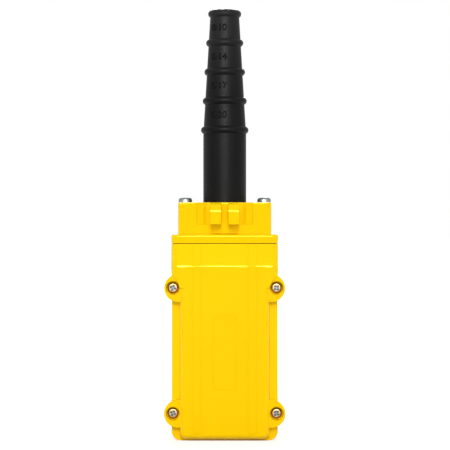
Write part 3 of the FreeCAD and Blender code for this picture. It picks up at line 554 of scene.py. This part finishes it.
def grain(tree, shader, value, strength, distance, edge):
    """Bump from a value, over edges that look rounded by a small radius."""
    bump = tree.nodes.new("ShaderNodeBump")
    bump.inputs["Strength"].default_value = strength
    bump.inputs["Distance"].default_value = distance
    tree.links.new(value, bump.inputs["Height"])
    bevel = tree.nodes.new("ShaderNodeBevel")
    bevel.samples = 6
    bevel.inputs["Radius"].default_value = edge
    tree.links.new(bevel.outputs["Normal"], bump.inputs["Normal"])
    tree.links.new(bump.outputs["Normal"], shader.inputs["Normal"])


def moulded_yellow(colours, name="moulded_yellow"):
    """Glossy moulded plastic with faint flow marks, painted shade in its corners and gaps, and a fine
    skin.
    """
    material, tree, shader = new_material(name)
    flow = noise(tree, scale=14.0, stretch=(1.0, 1.0, 0.35))
    tone = blend_colours(tree, ramp(tree, flow, 0.0, 1.0), colours.housing, colours.housing_deep)
    tree.links.new(tone, shader.inputs["Base Color"])
    # Painted shade: ambient occlusion darkens the yellow in corners, creases and gaps
    corner = tree.nodes.new("ShaderNodeAmbientOcclusion")
    corner.samples = 8
    corner.inputs["Distance"].default_value = 1.0 * MM
    corner_shade = ramp(tree, corner.outputs["AO"], 1.0, 0.0, low_at=0.35, high_at=0.95)
    recolour(tree, corner_shade, colours.housing_corner)
    skin = noise(tree, scale=420.0, detail=3.0, roughness=0.6)
    tree.links.new(ramp(tree, skin, low=0.09, high=0.13), shader.inputs["Roughness"])
    shader.inputs["Specular IOR Level"].default_value = 0.38
    shader.inputs["Specular Tint"].default_value = (1.0, 0.8, 0.1, 1.0)
    fine = noise(tree, scale=900.0)
    grain(tree, shader, fine, strength=0.03, distance=0.2 * MM, edge=0.1 * MM)
    return material


def moulded_rubber(name, tones, gloss):
    """Black rubber with a grey bloom and a fine matt skin."""
    material, tree, shader = new_material(name)
    bloom = noise(tree, scale=60.0, detail=4.0, roughness=0.6, stretch=(1.0, 1.0, 0.25))
    tone = blend_colours(tree, ramp(tree, bloom, 0.0, 1.0), *tones)
    tree.links.new(tone, shader.inputs["Base Color"])
    skin = noise(tree, scale=700.0, detail=3.0, roughness=0.6)
    rough = ramp(tree, skin, low=gloss - 0.05, high=gloss + 0.08)
    tree.links.new(rough, shader.inputs["Roughness"])
    shader.inputs["Specular IOR Level"].default_value = 0.065
    fine = noise(tree, scale=1600.0, detail=3.0, roughness=0.65)
    grain(tree, shader, fine, strength=0.15, distance=0.2 * MM, edge=0.3 * MM)
    return material


def plated_metal(name, colour, roughness):
    """Metal with fine turning marks and a plating that varies a little."""
    material, tree, shader = new_material(name)
    patch = noise(tree, scale=260.0, detail=3.0, roughness=0.55)
    darker = toned(colour, (0.78, 0.78, 0.78))
    tone = blend_colours(tree, ramp(tree, patch, 0.0, 1.0), colour, darker)
    tree.links.new(tone, shader.inputs["Base Color"])
    shader.inputs["Metallic"].default_value = 1.0
    shader.inputs["Specular Tint"].default_value = (0.4, 0.4, 0.4, 1.0)
    marks = noise(tree, scale=1800.0, detail=3.0, roughness=0.6)
    rough = ramp(tree, marks, low=roughness, high=roughness + 0.16)
    tree.links.new(rough, shader.inputs["Roughness"])
    grain(tree, shader, marks, strength=0.12, distance=0.1 * MM, edge=0.2 * MM)
    return material


def moulded_dark(name, colour, roughness):
    """Hard moulded plastic with a fine texture."""
    material, tree, shader = new_material(name)
    fleck = noise(tree, scale=500.0, detail=4.0, roughness=0.65)
    lighter = tuple(min(1.0, value * 1.5 + 0.004) for value in colour)
    tone = blend_colours(tree, ramp(tree, fleck, 0.0, 1.0), colour, lighter)
    tree.links.new(tone, shader.inputs["Base Color"])
    rough = ramp(tree, fleck, low=roughness, high=roughness + 0.12)
    tree.links.new(rough, shader.inputs["Roughness"])
    fine = noise(tree, scale=1400.0)
    grain(tree, shader, fine, strength=0.1, distance=0.1 * MM, edge=0.3 * MM)
    return material


def toned(colour, shares):
    """Colour with its red, green and blue each times a share."""
    return tuple(part * share for part, share in zip(colour, shares))


def paler_upwards(material, low, high, pale):
    """Blends a material's colour towards a paler one between two heights."""
    tree = material.node_tree
    split = tree.nodes.new("ShaderNodeSeparateXYZ")
    tree.links.new(object_place(tree), split.inputs["Vector"])
    recolour(tree, ramp(tree, split.outputs["Z"], 0.0, 1.0, low_at=low, high_at=high), pale)


def soiled(material, name, across, deep, reach, soil, rim=None):
    """Paints shade into a material round the screws of a node, which stand in the corners of its box.

    across keeps the two directions across the screws, and deep is the ramp along the third.
    reach is how far a screw's axis stands in from the corner, and how far the painted shade goes from
    it.
    The painted shade leaves the middle bright, and a rim colour, a painted reflection, covers what lies
    further out.
    """
    tree = material.node_tree
    low, high = node_box(name)
    inset, radius = reach
    half = [(b - a) / 2 - inset if keep else 0.0 for a, b, keep in zip(low, high, across)]
    half = [max(0.0, value) for value in half]
    place = object_place(tree)
    aside = vector_step(tree, "SUBTRACT", place, (low + high) / 2)
    aside = vector_step(tree, "ABSOLUTE", aside)
    aside = vector_step(tree, "SUBTRACT", aside, half)
    aside = vector_step(tree, "MULTIPLY", aside, across)
    away = vector_step(tree, "LENGTH", aside)
    # Painted shade: full near the screw's axis, fading out at the end of its reach
    inner = ramp(tree, away, 1.0, 0.0, radius, radius * SHADE_END)
    # Keeps the painted shade out of the bright middle
    worn = ramp(tree, away, 0.0, 1.0, *[radius * share for share in BRIGHT_MIDDLE])
    split = tree.nodes.new("ShaderNodeSeparateXYZ")
    tree.links.new(place, split.inputs["Vector"])
    depth = ramp(tree, split.outputs[across.index(0.0)], 0.0, 1.0, *deep)
    shade_share = arithmetic(tree, "MULTIPLY", inner, depth)
    shade_share = arithmetic(tree, "MULTIPLY", shade_share, worn)
    if rim:
        # Painted reflection of the well on the rim of the heads
        outer = ramp(tree, away, 0.0, 1.0, *[radius * share for share in RIM_START])
        recolour(tree, outer, rim)
    recolour(tree, shade_share, soil)


def finish(names, material):
    """Gives CAD nodes a material."""
    for name in names:
        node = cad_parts[name]
        if not node.data.materials:
            node.data.materials.append(material)
        for place in node.material_slots:
            place.material = material


def for_each_button(*names):
    """Names of the same nodes of both buttons."""
    return [f"{which}_{name}" for which in BUTTONS for name in names]


def finished_mesh(name, mesh, material):
    """Turns a bmesh into mesh data with a material."""
    data = bpy.data.meshes.new(name)
    mesh.to_mesh(data)
    mesh.free()
    data.materials.append(material)
    return data


def link_mesh(name, mesh, material, body):
    """Puts a bmesh into the scene as a smooth piece that rides on a body."""
    data = finished_mesh(name, mesh, material)
    data.shade_smooth()
    piece = bpy.data.objects.new(name, data)
    bpy.context.scene.collection.objects.link(piece)
    if body:
        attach(piece, body)
    return piece


def sharpen(piece, degrees=40.0):
    """Keeps edges crisp where the surface turns by more than an angle."""
    piece.data.set_sharp_from_angle(angle=math.radians(degrees))


def spun(profile, turn, steps=96):
    """Closed bmesh of an (r, h) outline spun round Z and turned into place."""
    mesh = bmesh.new()
    points = [mesh.verts.new((r, 0.0, h)) for r, h in profile]
    edges = [mesh.edges.new(pair) for pair in zip(points, points[1:] + points[:1])]
    bmesh.ops.spin(
        mesh,
        geom=points + edges,
        cent=(0, 0, 0),
        axis=(0, 0, 1),
        angle=math.tau,
        steps=steps,
        use_merge=True,
    )
    bmesh.ops.remove_doubles(mesh, verts=mesh.verts, dist=WELD)
    bmesh.ops.dissolve_degenerate(mesh, edges=mesh.edges, dist=WELD)
    bmesh.ops.transform(mesh, matrix=turn, verts=mesh.verts)
    bmesh.ops.recalc_face_normals(mesh, faces=mesh.faces)
    return mesh


def arc(centre, radius, start, end, count):
    """(r, h) points on an arc, angles in degrees from the r axis."""
    points = []
    for i in range(count + 1):
        angle = math.radians(start + (end - start) * i / count)
        points.append(
            (centre[0] + radius * math.cos(angle), centre[1] + radius * math.sin(angle))
        )
    return points


def outwards(place):
    """Turns Z to +Y and puts the origin at a place."""
    return Matrix.Translation(place) @ Matrix.Rotation(math.radians(-90), 4, "X")


class PENDANT_OT_finish_housing(bpy.types.Operator):
    """Yellow moulded plastic on the case, the cover and the cap, with painted shade in the cover's
    screw wells
    """

    bl_idname = "pendant.finish_housing"
    bl_label = "Finish housing"

    def execute(self, context):
        colours = context.scene.pendant_finish
        finish(("front_case", "top_cap"), moulded_yellow(colours))
        # Cover yellow with painted shade in the wells round its screws
        well_shaded = moulded_yellow(colours, "moulded_yellow_cover_well_shade")
        head_top = node_box("cover_screws")[0].y
        deep = [head_top + depth for depth in WELL_DEPTH]
        soiled(well_shaded, "cover_screws", ACROSS_Y, deep, WELL_REACH, colours.well)
        finish(("back_cover",), well_shaded)
        return {"FINISHED"}


class PENDANT_OT_finish_metal(bpy.types.Operator):
    """Plated, turned and stamped metal pieces"""

    bl_idname = "pendant.finish_metal"
    bl_label = "Finish metal"

    def execute(self, context):
        colours = context.scene.pendant_finish
        zinc = plated_metal("zinc_plate", colours.zinc, roughness=0.3)
        brass = plated_metal("turned_brass", colours.brass, roughness=0.24)
        steel = plated_metal("spring_steel", toned(colours.zinc, SPRING_TONE), roughness=0.3)
        # Darker copy of the zinc, painted shade of the cover screws in their wells
        zinc_toned_for_light = toned(colours.zinc, COVER_SCREW_SHADE_TONE)
        recessed = plated_metal("zinc_plate_cover_screws_shaded", zinc_toned_for_light, roughness=0.34)
        head_top = node_box("cover_screws")[0].y
        deep = [head_top + depth for depth in COVER_SCREW_DEPTH]
        # Painted shade in the cross recesses of the cover screws
        soil = toned(colours.soil, COVER_SHADE_TONE)
        reach = COVER_SCREW_REACH
        soiled(recessed, "cover_screws", ACROSS_Y, deep, reach, soil, colours.screw_rim)
        finish(("cover_screws",), recessed)
        # Darker bluish copy of the zinc, painted shade and a painted bluish reflection on the cap
        # screws
        zinc_toned_for_light = toned(colours.zinc, CAP_SCREW_SHADE_TONE)
        recessed = plated_metal("zinc_plate_cap_screws_shaded", zinc_toned_for_light, roughness=0.36)
        # Painted shade in the recesses of the cap screws
        head_top = node_box("cap_screws")[1].z
        deep = [head_top + depth for depth in CAP_SCREW_DEPTH]
        soiled(recessed, "cap_screws", ACROSS_Z, deep, CAP_SCREW_REACH, colours.soil)
        finish(("cap_screws",), recessed)
        finish(
            (
                "cap_washers",
                "cable_clamp_strap",
                "cable_clamp_screws",
                "switch_mounting_screws",
                *for_each_button("wire_clamps", "terminal_screws"),
            ),
            zinc,
        )
        strips = for_each_button("fixed_contacts", "contact_bridge")
        finish(("cover_screw_inserts", "cap_screw_inserts", *strips), brass)
        finish(for_each_button("contact_spring", "return_spring"), steel)
        return {"FINISHED"}


class PENDANT_OT_finish_inside(bpy.types.Operator):
    """Seals, switch bases, guide plates, carriers, rings and buttons"""

    bl_idname = "pendant.finish_inside"
    bl_label = "Finish inside"

    def execute(self, context):
        colours = context.scene.pendant_finish
        # Seal rubber whose orange brown is partly the painted shade of the seam
        seal = moulded_rubber("seal_rubber", (colours.seal, colours.seal), gloss=0.62)
        black = moulded_dark("phenolic_black", colours.switch_black, roughness=0.34)
        red = moulded_dark("carrier_red", colours.switch_red, roughness=0.38)
        finish(("cover_seal", "cap_seal"), seal)
        finish(for_each_button("switch_base", "retaining_ring", "button"), black)
        finish(for_each_button("guide_plate", "contact_carrier"), red)
        return {"FINISHED"}


class PENDANT_OT_make_cord_boot(bpy.types.Operator):
    """Stepped rubber boot with beads, in place of the plain one"""

    bl_idname = "pendant.make_cord_boot"
    bl_label = "Make cord boot"

    def execute(self, context):
        sizes = context.scene.pendant_boot
        colours = context.scene.pendant_finish
        tones = (colours.rubber, colours.rubber_bloom)
        material = moulded_rubber("moulded_rubber", tones, gloss=0.46)
        top = BOOT_HIGH.z
        # Paler towards the top of the boot, by height
        paler_upwards(material, top - PALER_STEPS * sizes.pitch, top, colours.rubber_worn)
        rings = [top - sizes.rim_drop - i * sizes.pitch for i in range(sizes.steps + 1)]
        outline = self.outside(sizes, rings)
        outline += self.inside(sizes, rings, outline[-1][0])
        mesh = spun(outline, Matrix.Identity(4))
        boot = link_mesh("cord_boot_skin", mesh, material, HOUSING)
        sharpen(boot)
        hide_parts("cord_boot")
        return {"FINISHED"}

    def outside(self, sizes, rings):
        """(r, h) points from the bore at the foot up to the crown of the rim."""
        foot = BOOT_LOW.z
        flange = (BOOT_HIGH.x - BOOT_LOW.x) / 2
        bead = sizes.ring_radius
        hollow = sizes.hollow
        points = [
            (sizes.root_bore, foot),
            (flange, foot),
            (flange, foot + sizes.foot_height),
            (sizes.sleeve_radius, foot + sizes.foot_height),
        ]
        for step in reversed(range(sizes.steps + 1)):
            wall = sizes.top_radius + step * sizes.growth
            below = wall if step < sizes.steps else sizes.sleeve_radius
            stand = sizes.ring_stand if step else sizes.rim_stand
            centre = (wall + stand - bead, rings[step])
            start = -math.degrees(math.acos((below - centre[0]) / bead))
            if not step:
                points += arc(centre, bead, start, 90.0, BEAD_STEPS)
                continue
            above = sizes.top_radius + (step - 1) * sizes.growth + sizes.taper
            aside = above + hollow - centre[0]
            end = math.degrees(math.acos(aside / (bead + hollow)))
            points += arc(centre, bead, start, end, BEAD_STEPS)
            bend = (above + hollow, centre[1] + math.sqrt((bead + hollow) ** 2 - aside**2))
            points += arc(bend, hollow, end + 180, 180, HOLLOW_STEPS)[1:]
        return points

    def inside(self, sizes, rings, rim):
        """(r, h) points from the rim's flat top down through the stepped bore."""
        top = BOOT_HIGH.z
        bores = [size * MM / 2 for size in CABLE_SIZES[: sizes.steps]] + [sizes.root_bore]
        mouth = bores[0]
        points = [(rim - RIM_FLAT, top), (mouth + MOUTH_LEAD, top), (mouth, top - MOUTH_LEAD)]
        for bore, wider, foot in zip(bores, bores[1:], rings[1:]):
            points += [(bore, foot + wider - bore), (wider, foot)]
        return points


class PENDANT_OT_make_size_marks(bpy.types.Operator):
    """Cable sizes moulded on the steps of the boot"""

    bl_idname = "pendant.make_size_marks"
    bl_label = "Make size marks"

    def execute(self, context):
        sizes = context.scene.pendant_boot
        colours = context.scene.pendant_finish
        tones = (colours.mark, colours.mark)
        material = moulded_rubber("polished_rubber", tones, gloss=0.3)
        for step, number in enumerate(CABLE_SIZES[: sizes.steps]):
            mesh = bmesh.new()
            self.add_words(context, mesh, "Ø", sizes.sign_bold, sizes.sign_aside)
            self.add_words(context, mesh, str(number), sizes.mark_bold, sizes.number_aside)
            self.wrap(sizes, mesh, step)
            bmesh.ops.recalc_face_normals(mesh, faces=mesh.faces)
            link_mesh(f"size_mark_{step + 1}", mesh, material, HOUSING)
        return {"FINISHED"}

    def wrap(self, sizes, mesh, step):
        """Bends flat letters round the back of a step of the boot."""
        middle = BOOT_HIGH.z - sizes.rim_drop - (step + 0.5) * sizes.pitch
        for vertex in mesh.verts:
            across, up, out = vertex.co
            share = (0.5 * sizes.pitch - up) / sizes.pitch
            radius = sizes.top_radius + step * sizes.growth + share * sizes.taper
            angle = across / radius
            radius += out
            vertex.co = (radius * math.sin(angle), -radius * math.cos(angle), middle + up)

    def add_words(self, context, mesh, words, bold, aside):
        """Adds flat raised letters at a distance from the middle line."""
        sizes = context.scene.pendant_boot
        curve = bpy.data.curves.new("mark", "FONT")
        curve.body = words
        curve.size = sizes.mark_height * CAPITAL
        curve.extrude = sizes.mark_stand
        curve.offset = bold
        curve.align_x = "CENTER"
        curve.align_y = "CENTER"
        text = bpy.data.objects.new("mark", curve)
        context.scene.collection.objects.link(text)
        graph = context.evaluated_depsgraph_get()
        data = bpy.data.meshes.new_from_object(text.evaluated_get(graph))
        bpy.data.objects.remove(text)
        data.transform(Matrix.Translation((aside, 0, 0)))
        mesh.from_mesh(data)
        bpy.data.meshes.remove(data)
        bmesh.ops.remove_doubles(mesh, verts=mesh.verts, dist=WELD)


class PENDANT_OT_make_button_boots(bpy.types.Operator):
    """Rubber domes over the buttons, with a raised arrow on each"""

    bl_idname = "pendant.make_button_boots"
    bl_label = "Make button boots"

    def execute(self, context):
        sizes = context.scene.pendant_buttons
        colours = context.scene.pendant_finish
        tones = (colours.rubber, colours.rubber_bloom)
        rubber = moulded_rubber("button_rubber", tones, gloss=0.42)
        paint = moulded_dark("arrow_paint", colours.sign, roughness=0.4)
        for which in BUTTONS:
            self.make_boot(sizes, which, rubber)
            self.make_arrow(sizes, which, paint)
        return {"FINISHED"}

    def make_boot(self, sizes, which, material):
        """Dome with a clamped edge."""
        low, high = node_box(f"{which}_button_boot")
        middle = (low + high) / 2
        ring_low, _ = node_box(f"{which}_retaining_ring")
        plate_back = ring_low.y - sizes.plate
        edge = (high.x - low.x) / 2
        crown = high.y - plate_back - sizes.arrow_stand
        skirt = low.y - plate_back
        plate, wall = sizes.plate, sizes.wall
        foot, top = sizes.dome_radius, sizes.top_radius
        inner = foot - wall - DOME_LEAD
        bead = (foot - DOME_BEAD, (crown - plate) * DOME_BEAD_AT + plate)
        outline = [(edge, 0.0), (edge, plate), (foot + DOME_LEAD, plate)]
        outline += [(foot - DOME_NECK_IN, plate + DOME_NECK_UP)]
        outline += arc(bead, DOME_BEAD, *DOME_BEAD_ARC)
        shoulder = (top - DOME_CROWN, crown - DOME_CROWN)
        outline += arc(shoulder, DOME_CROWN, *DOME_CROWN_ARC)
        outline += [(0.0, crown), (0.0, crown - wall)]
        outline += [(top - wall - DOME_DRAFT, crown - wall), (inner, skirt)]
        outline += [(inner + wall, skirt), (inner + wall, 0.0)]
        turn = outwards(Vector((middle.x, plate_back, middle.z)))
        mesh = spun(outline, turn, DOME_STEPS)
        boot = link_mesh(f"{which}_button_dome", mesh, material, None)
        sharpen(boot, degrees=50)
        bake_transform(boot)
        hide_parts(f"{which}_button_boot")

    def make_arrow(self, sizes, which, material):
        """Raised arrow on the crown of a dome."""
        low, high = node_box(f"{which}_button_boot")
        middle = (low + high) / 2
        sign = 1.0 if which == "upper" else -1.0
        length = sizes.arrow_length
        half, stem = length * ARROW_HEAD, length * ARROW_STEM
        shoulder = length * ARROW_SHOULDER
        corners = [
            (0.0, length / 2),
            (-half, shoulder),
            (-stem, shoulder),
            (-stem, -length / 2),
            (stem, -length / 2),
            (stem, shoulder),
            (half, shoulder),
        ]
        mesh = bmesh.new()
        thick = 2 * sizes.arrow_stand
        back = high.y - thick
        points = [mesh.verts.new((middle.x + x, back, middle.z + sign * z)) for x, z in corners]
        face = mesh.faces.new(points)
        grown = bmesh.ops.extrude_face_region(mesh, geom=[face])["geom"]
        front = [v for v in grown if isinstance(v, bmesh.types.BMVert)]
        bmesh.ops.translate(mesh, verts=front, vec=(0, thick - ARROW_SINK, 0))
        rim = [e for e in mesh.edges if all(v in front for v in e.verts)]
        bmesh.ops.bevel(
            mesh, geom=rim, offset=ARROW_EDGE, segments=2, profile=0.5, affect="EDGES",
            material=-1,
        )
        bmesh.ops.recalc_face_normals(mesh, faces=mesh.faces)
        arrow = link_mesh(f"{which}_arrow", mesh, material, f"{which}_button")
        sharpen(arrow)


class PENDANT_OT_make_springs(bpy.types.Operator):
    """Coiled wire return springs and contact springs"""

    bl_idname = "pendant.make_springs"
    bl_label = "Make springs"

    def execute(self, context):
        material = bpy.data.materials["spring_steel"]
        for which in BUTTONS:
            name = f"{which}_return_spring"
            coil = self.make_coil(name, RETURN_TURNS, material, None)
            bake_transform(coil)
            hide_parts(name)
            name = f"{which}_contact_spring"
            coil = self.make_coil(name, CONTACT_TURNS, material, f"{which}_button")
            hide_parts(name)
        return {"FINISHED"}

    def make_coil(self, name, turns, material, body):
        """Round wire wound along Y, in the box of a CAD node."""
        low, high = node_box(name)
        middle = (low + high) / 2
        wire = WIRE_RADIUS
        radius = (high.x - low.x) / 2 - wire
        height = high.y - low.y - 2 * wire
        steps = round(turns * COIL_STEPS)
        mesh = bmesh.new()
        upright = Matrix.Translation((radius, 0, 0)) @ Matrix.Rotation(math.radians(90), 4, "X")
        ring = bmesh.ops.create_circle(
            mesh, cap_ends=False, segments=WIRE_SIDES, radius=wire, matrix=upright
        )["verts"]
        bmesh.ops.spin(
            mesh,
            geom=ring + list(mesh.edges),
            cent=(0, 0, 0),
            axis=(0, 0, 1),
            dvec=(0, 0, height / steps),
            angle=math.tau * turns,
            steps=steps,
        )
        bmesh.ops.holes_fill(mesh, edges=mesh.edges, sides=WIRE_SIDES)
        turn = outwards(Vector((middle.x, low.y + wire, middle.z)))
        bmesh.ops.transform(mesh, matrix=turn, verts=mesh.verts)
        bmesh.ops.recalc_face_normals(mesh, faces=mesh.faces)
        return link_mesh(f"{name}_wire", mesh, material, body)


class PENDANT_OT_make_stage(bpy.types.Operator):
    """Camera, soft lamps, white surround and a pale floor"""

    bl_idname = "pendant.make_stage"
    bl_label = "Make stage"

    def execute(self, context):
        settings = context.scene.pendant_stage
        self.make_camera(context, settings)
        self.make_lamps(context, settings)
        self.make_sky(context, settings)
        self.make_floor(context, settings)
        context.scene.view_settings.view_transform = "Standard"
        return {"FINISHED"}

    def make_camera(self, context, settings):
        """Level camera that looks along +Y at the back of the pendant."""
        data = bpy.data.cameras.new("camera")
        data.sensor_width = FILM_WIDTH
        data.lens = data.sensor_width * settings.camera_distance / settings.view_width
        data.clip_end = VIEW_END
        camera = bpy.data.objects.new("camera", data)
        camera.location = (
            settings.camera_side,
            -settings.camera_distance,
            settings.camera_height,
        )
        camera.rotation_euler = (math.radians(90), 0, 0)
        context.scene.collection.objects.link(camera)
        context.scene.camera = camera

    def make_lamps(self, context, settings):
        """Soft lamps round the pendant, of which some are seen in the gloss alone."""
        aim = Vector((0, 0, settings.lamp_aim))
        # Width and height of the lamps in metres
        strip, large, small = (1.6, 1.8), (3.3, 2.2), (0.95, 0.95)
        wide, narrow = (2.2, 0.72), (0.95, 0.72)
        shine_back = settings.shine * wide[0] * wide[1]
        shine_front = settings.shine_front * narrow[0] * narrow[1]
        # Name, degrees round the pendant, degrees up, share of a full light, width and height
        lamps = (
            ("strip_back", 0, 24, settings.strip, strip),
            ("strip_front", 180, 24, settings.strip, strip),
            ("high_back", 0, 50, settings.high, large),
            ("high_front", 180, 50, settings.high, large),
            ("shine_back", 0, 18, shine_back, wide),
            ("shine_front", 180, 18, shine_front, narrow),
            ("low_back", 0, 8, settings.low, small),
            ("low_front", 180, 8, settings.low, small),
            ("side_right", 90, 25, settings.side, large),
            ("side_left", 270, 25, settings.side, large),
        )
        for name, turn, rise, share, size in lamps:
            data = bpy.data.lights.new(name, "AREA")
            data.shape = "RECTANGLE"
            data.size, data.size_y = size
            turn, rise = math.radians(turn), math.radians(rise)
            level = math.cos(rise)
            way = Vector((math.sin(turn) * level, -math.cos(turn) * level, math.sin(rise)))
            data.energy = share * math.pi**2 * settings.lamp_distance**2
            lamp = bpy.data.objects.new(name, data)
            lamp.location = aim + way * settings.lamp_distance
            lamp.rotation_euler = way.to_track_quat("Z", "Y").to_euler()
            lamp.visible_glossy = name.startswith("shine")
            lamp.visible_diffuse = not lamp.visible_glossy
            context.scene.collection.objects.link(lamp)

    def seen_rays(self, tree):
        """One where the camera, a reflection or glass looks, and nought for plain light."""
        rays = tree.nodes.new("ShaderNodeLightPath")
        total = rays.outputs["Is Camera Ray"]
        for name in ("Is Glossy Ray", "Is Transmission Ray"):
            total = arithmetic(tree, "MAXIMUM", total, rays.outputs[name])
        return total

    def make_sky(self, context, settings):
        """Even light from all round, seen as white."""
        world = bpy.data.worlds.new("surround")
        world.use_nodes = True
        tree = world.node_tree
        light = tree.nodes["Background"]
        light.inputs["Strength"].default_value = settings.sky
        light.inputs["Color"].default_value = WHITE
        white = tree.nodes.new("ShaderNodeBackground")
        white.inputs["Strength"].default_value = 1.0
        white.inputs["Color"].default_value = WHITE
        mix = tree.nodes.new("ShaderNodeMixShader")
        tree.links.new(self.seen_rays(tree), mix.inputs["Fac"])
        tree.links.new(light.outputs[0], mix.inputs[1])
        tree.links.new(white.outputs[0], mix.inputs[2])
        tree.links.new(mix.outputs[0], tree.nodes["World Output"].inputs["Surface"])
        context.scene.world = world

    def make_floor(self, context, settings):
        """Pale floor that turns white away from the pendant and keeps its shadow."""
        material = bpy.data.materials.new("pale_floor")
        material.use_nodes = True
        tree = material.node_tree
        tree.nodes.remove(tree.nodes["Principled BSDF"])
        matt = tree.nodes.new("ShaderNodeBsdfDiffuse")
        matt.inputs["Color"].default_value = (*[settings.floor_tone] * 3, 1.0)
        glow = tree.nodes.new("ShaderNodeEmission")
        both = tree.nodes.new("ShaderNodeAddShader")
        away = vector_step(tree, "LENGTH", object_place(tree))
        white = ramp(
            tree, away, settings.floor_glow, 1.0, settings.floor_near, settings.floor_far
        )
        level = arithmetic(tree, "MULTIPLY", self.seen_rays(tree), white)
        tree.links.new(level, glow.inputs["Strength"])
        tree.links.new(matt.outputs[0], both.inputs[0])
        tree.links.new(glow.outputs[0], both.inputs[1])
        tree.links.new(both.outputs[0], tree.nodes["Material Output"].inputs["Surface"])
        mesh = bmesh.new()
        bmesh.ops.create_grid(mesh, x_segments=1, y_segments=1, size=FLOOR_HALF)
        floor = bpy.data.objects.new("floor", finished_mesh("floor", mesh, material))
        context.scene.collection.objects.link(floor)


class PENDANT_PT_panel(bpy.types.Panel):
    """Lists the pendant's steps and settings"""

    bl_idname = "PENDANT_PT_panel"
    bl_label = "Pendant"
    bl_space_type = "VIEW_3D"
    bl_region_type = "UI"
    bl_category = "Pendant"

    def draw(self, context):
        """Lists the steps in their order, and then each group of settings."""
        for step in STEPS:
            self.layout.operator(step.bl_idname)
        for name, group in SETTINGS.items():
            box = self.layout.box()
            box.label(text=group.__doc__)
            settings = getattr(context.scene, name)
            for field in group.__annotations__:
                box.prop(settings, field)


STEPS = (
    PENDANT_OT_finish_housing,
    PENDANT_OT_finish_metal,
    PENDANT_OT_finish_inside,
    PENDANT_OT_make_cord_boot,
    PENDANT_OT_make_size_marks,
    PENDANT_OT_make_button_boots,
    PENDANT_OT_make_springs,
    PENDANT_OT_make_stage,
)
SETTINGS = {
    "pendant_finish": PendantFinish,
    "pendant_boot": PendantBoot,
    "pendant_buttons": PendantButtons,
    "pendant_stage": PendantStage,
}


def register():
    """Registers the settings, the steps and the panel."""
    for group in SETTINGS.values():
        bpy.utils.register_class(group)
    for name, group in SETTINGS.items():
        setattr(bpy.types.Scene, name, PointerProperty(type=group))
    for step in STEPS:
        bpy.utils.register_class(step)
    bpy.utils.register_class(PENDANT_PT_panel)


def unregister():
    """Takes everything back in the other order."""
    bpy.utils.unregister_class(PENDANT_PT_panel)
    for step in reversed(STEPS):
        bpy.utils.unregister_class(step)
    for name, group in SETTINGS.items():
        delattr(bpy.types.Scene, name)
        bpy.utils.unregister_class(group)


def main():
    """Dresses the model step by step."""
    register()
    for step in STEPS:
        group, name = step.bl_idname.split(".")
        getattr(getattr(bpy.ops, group), name)()


if __name__ == "__main__":
    main()
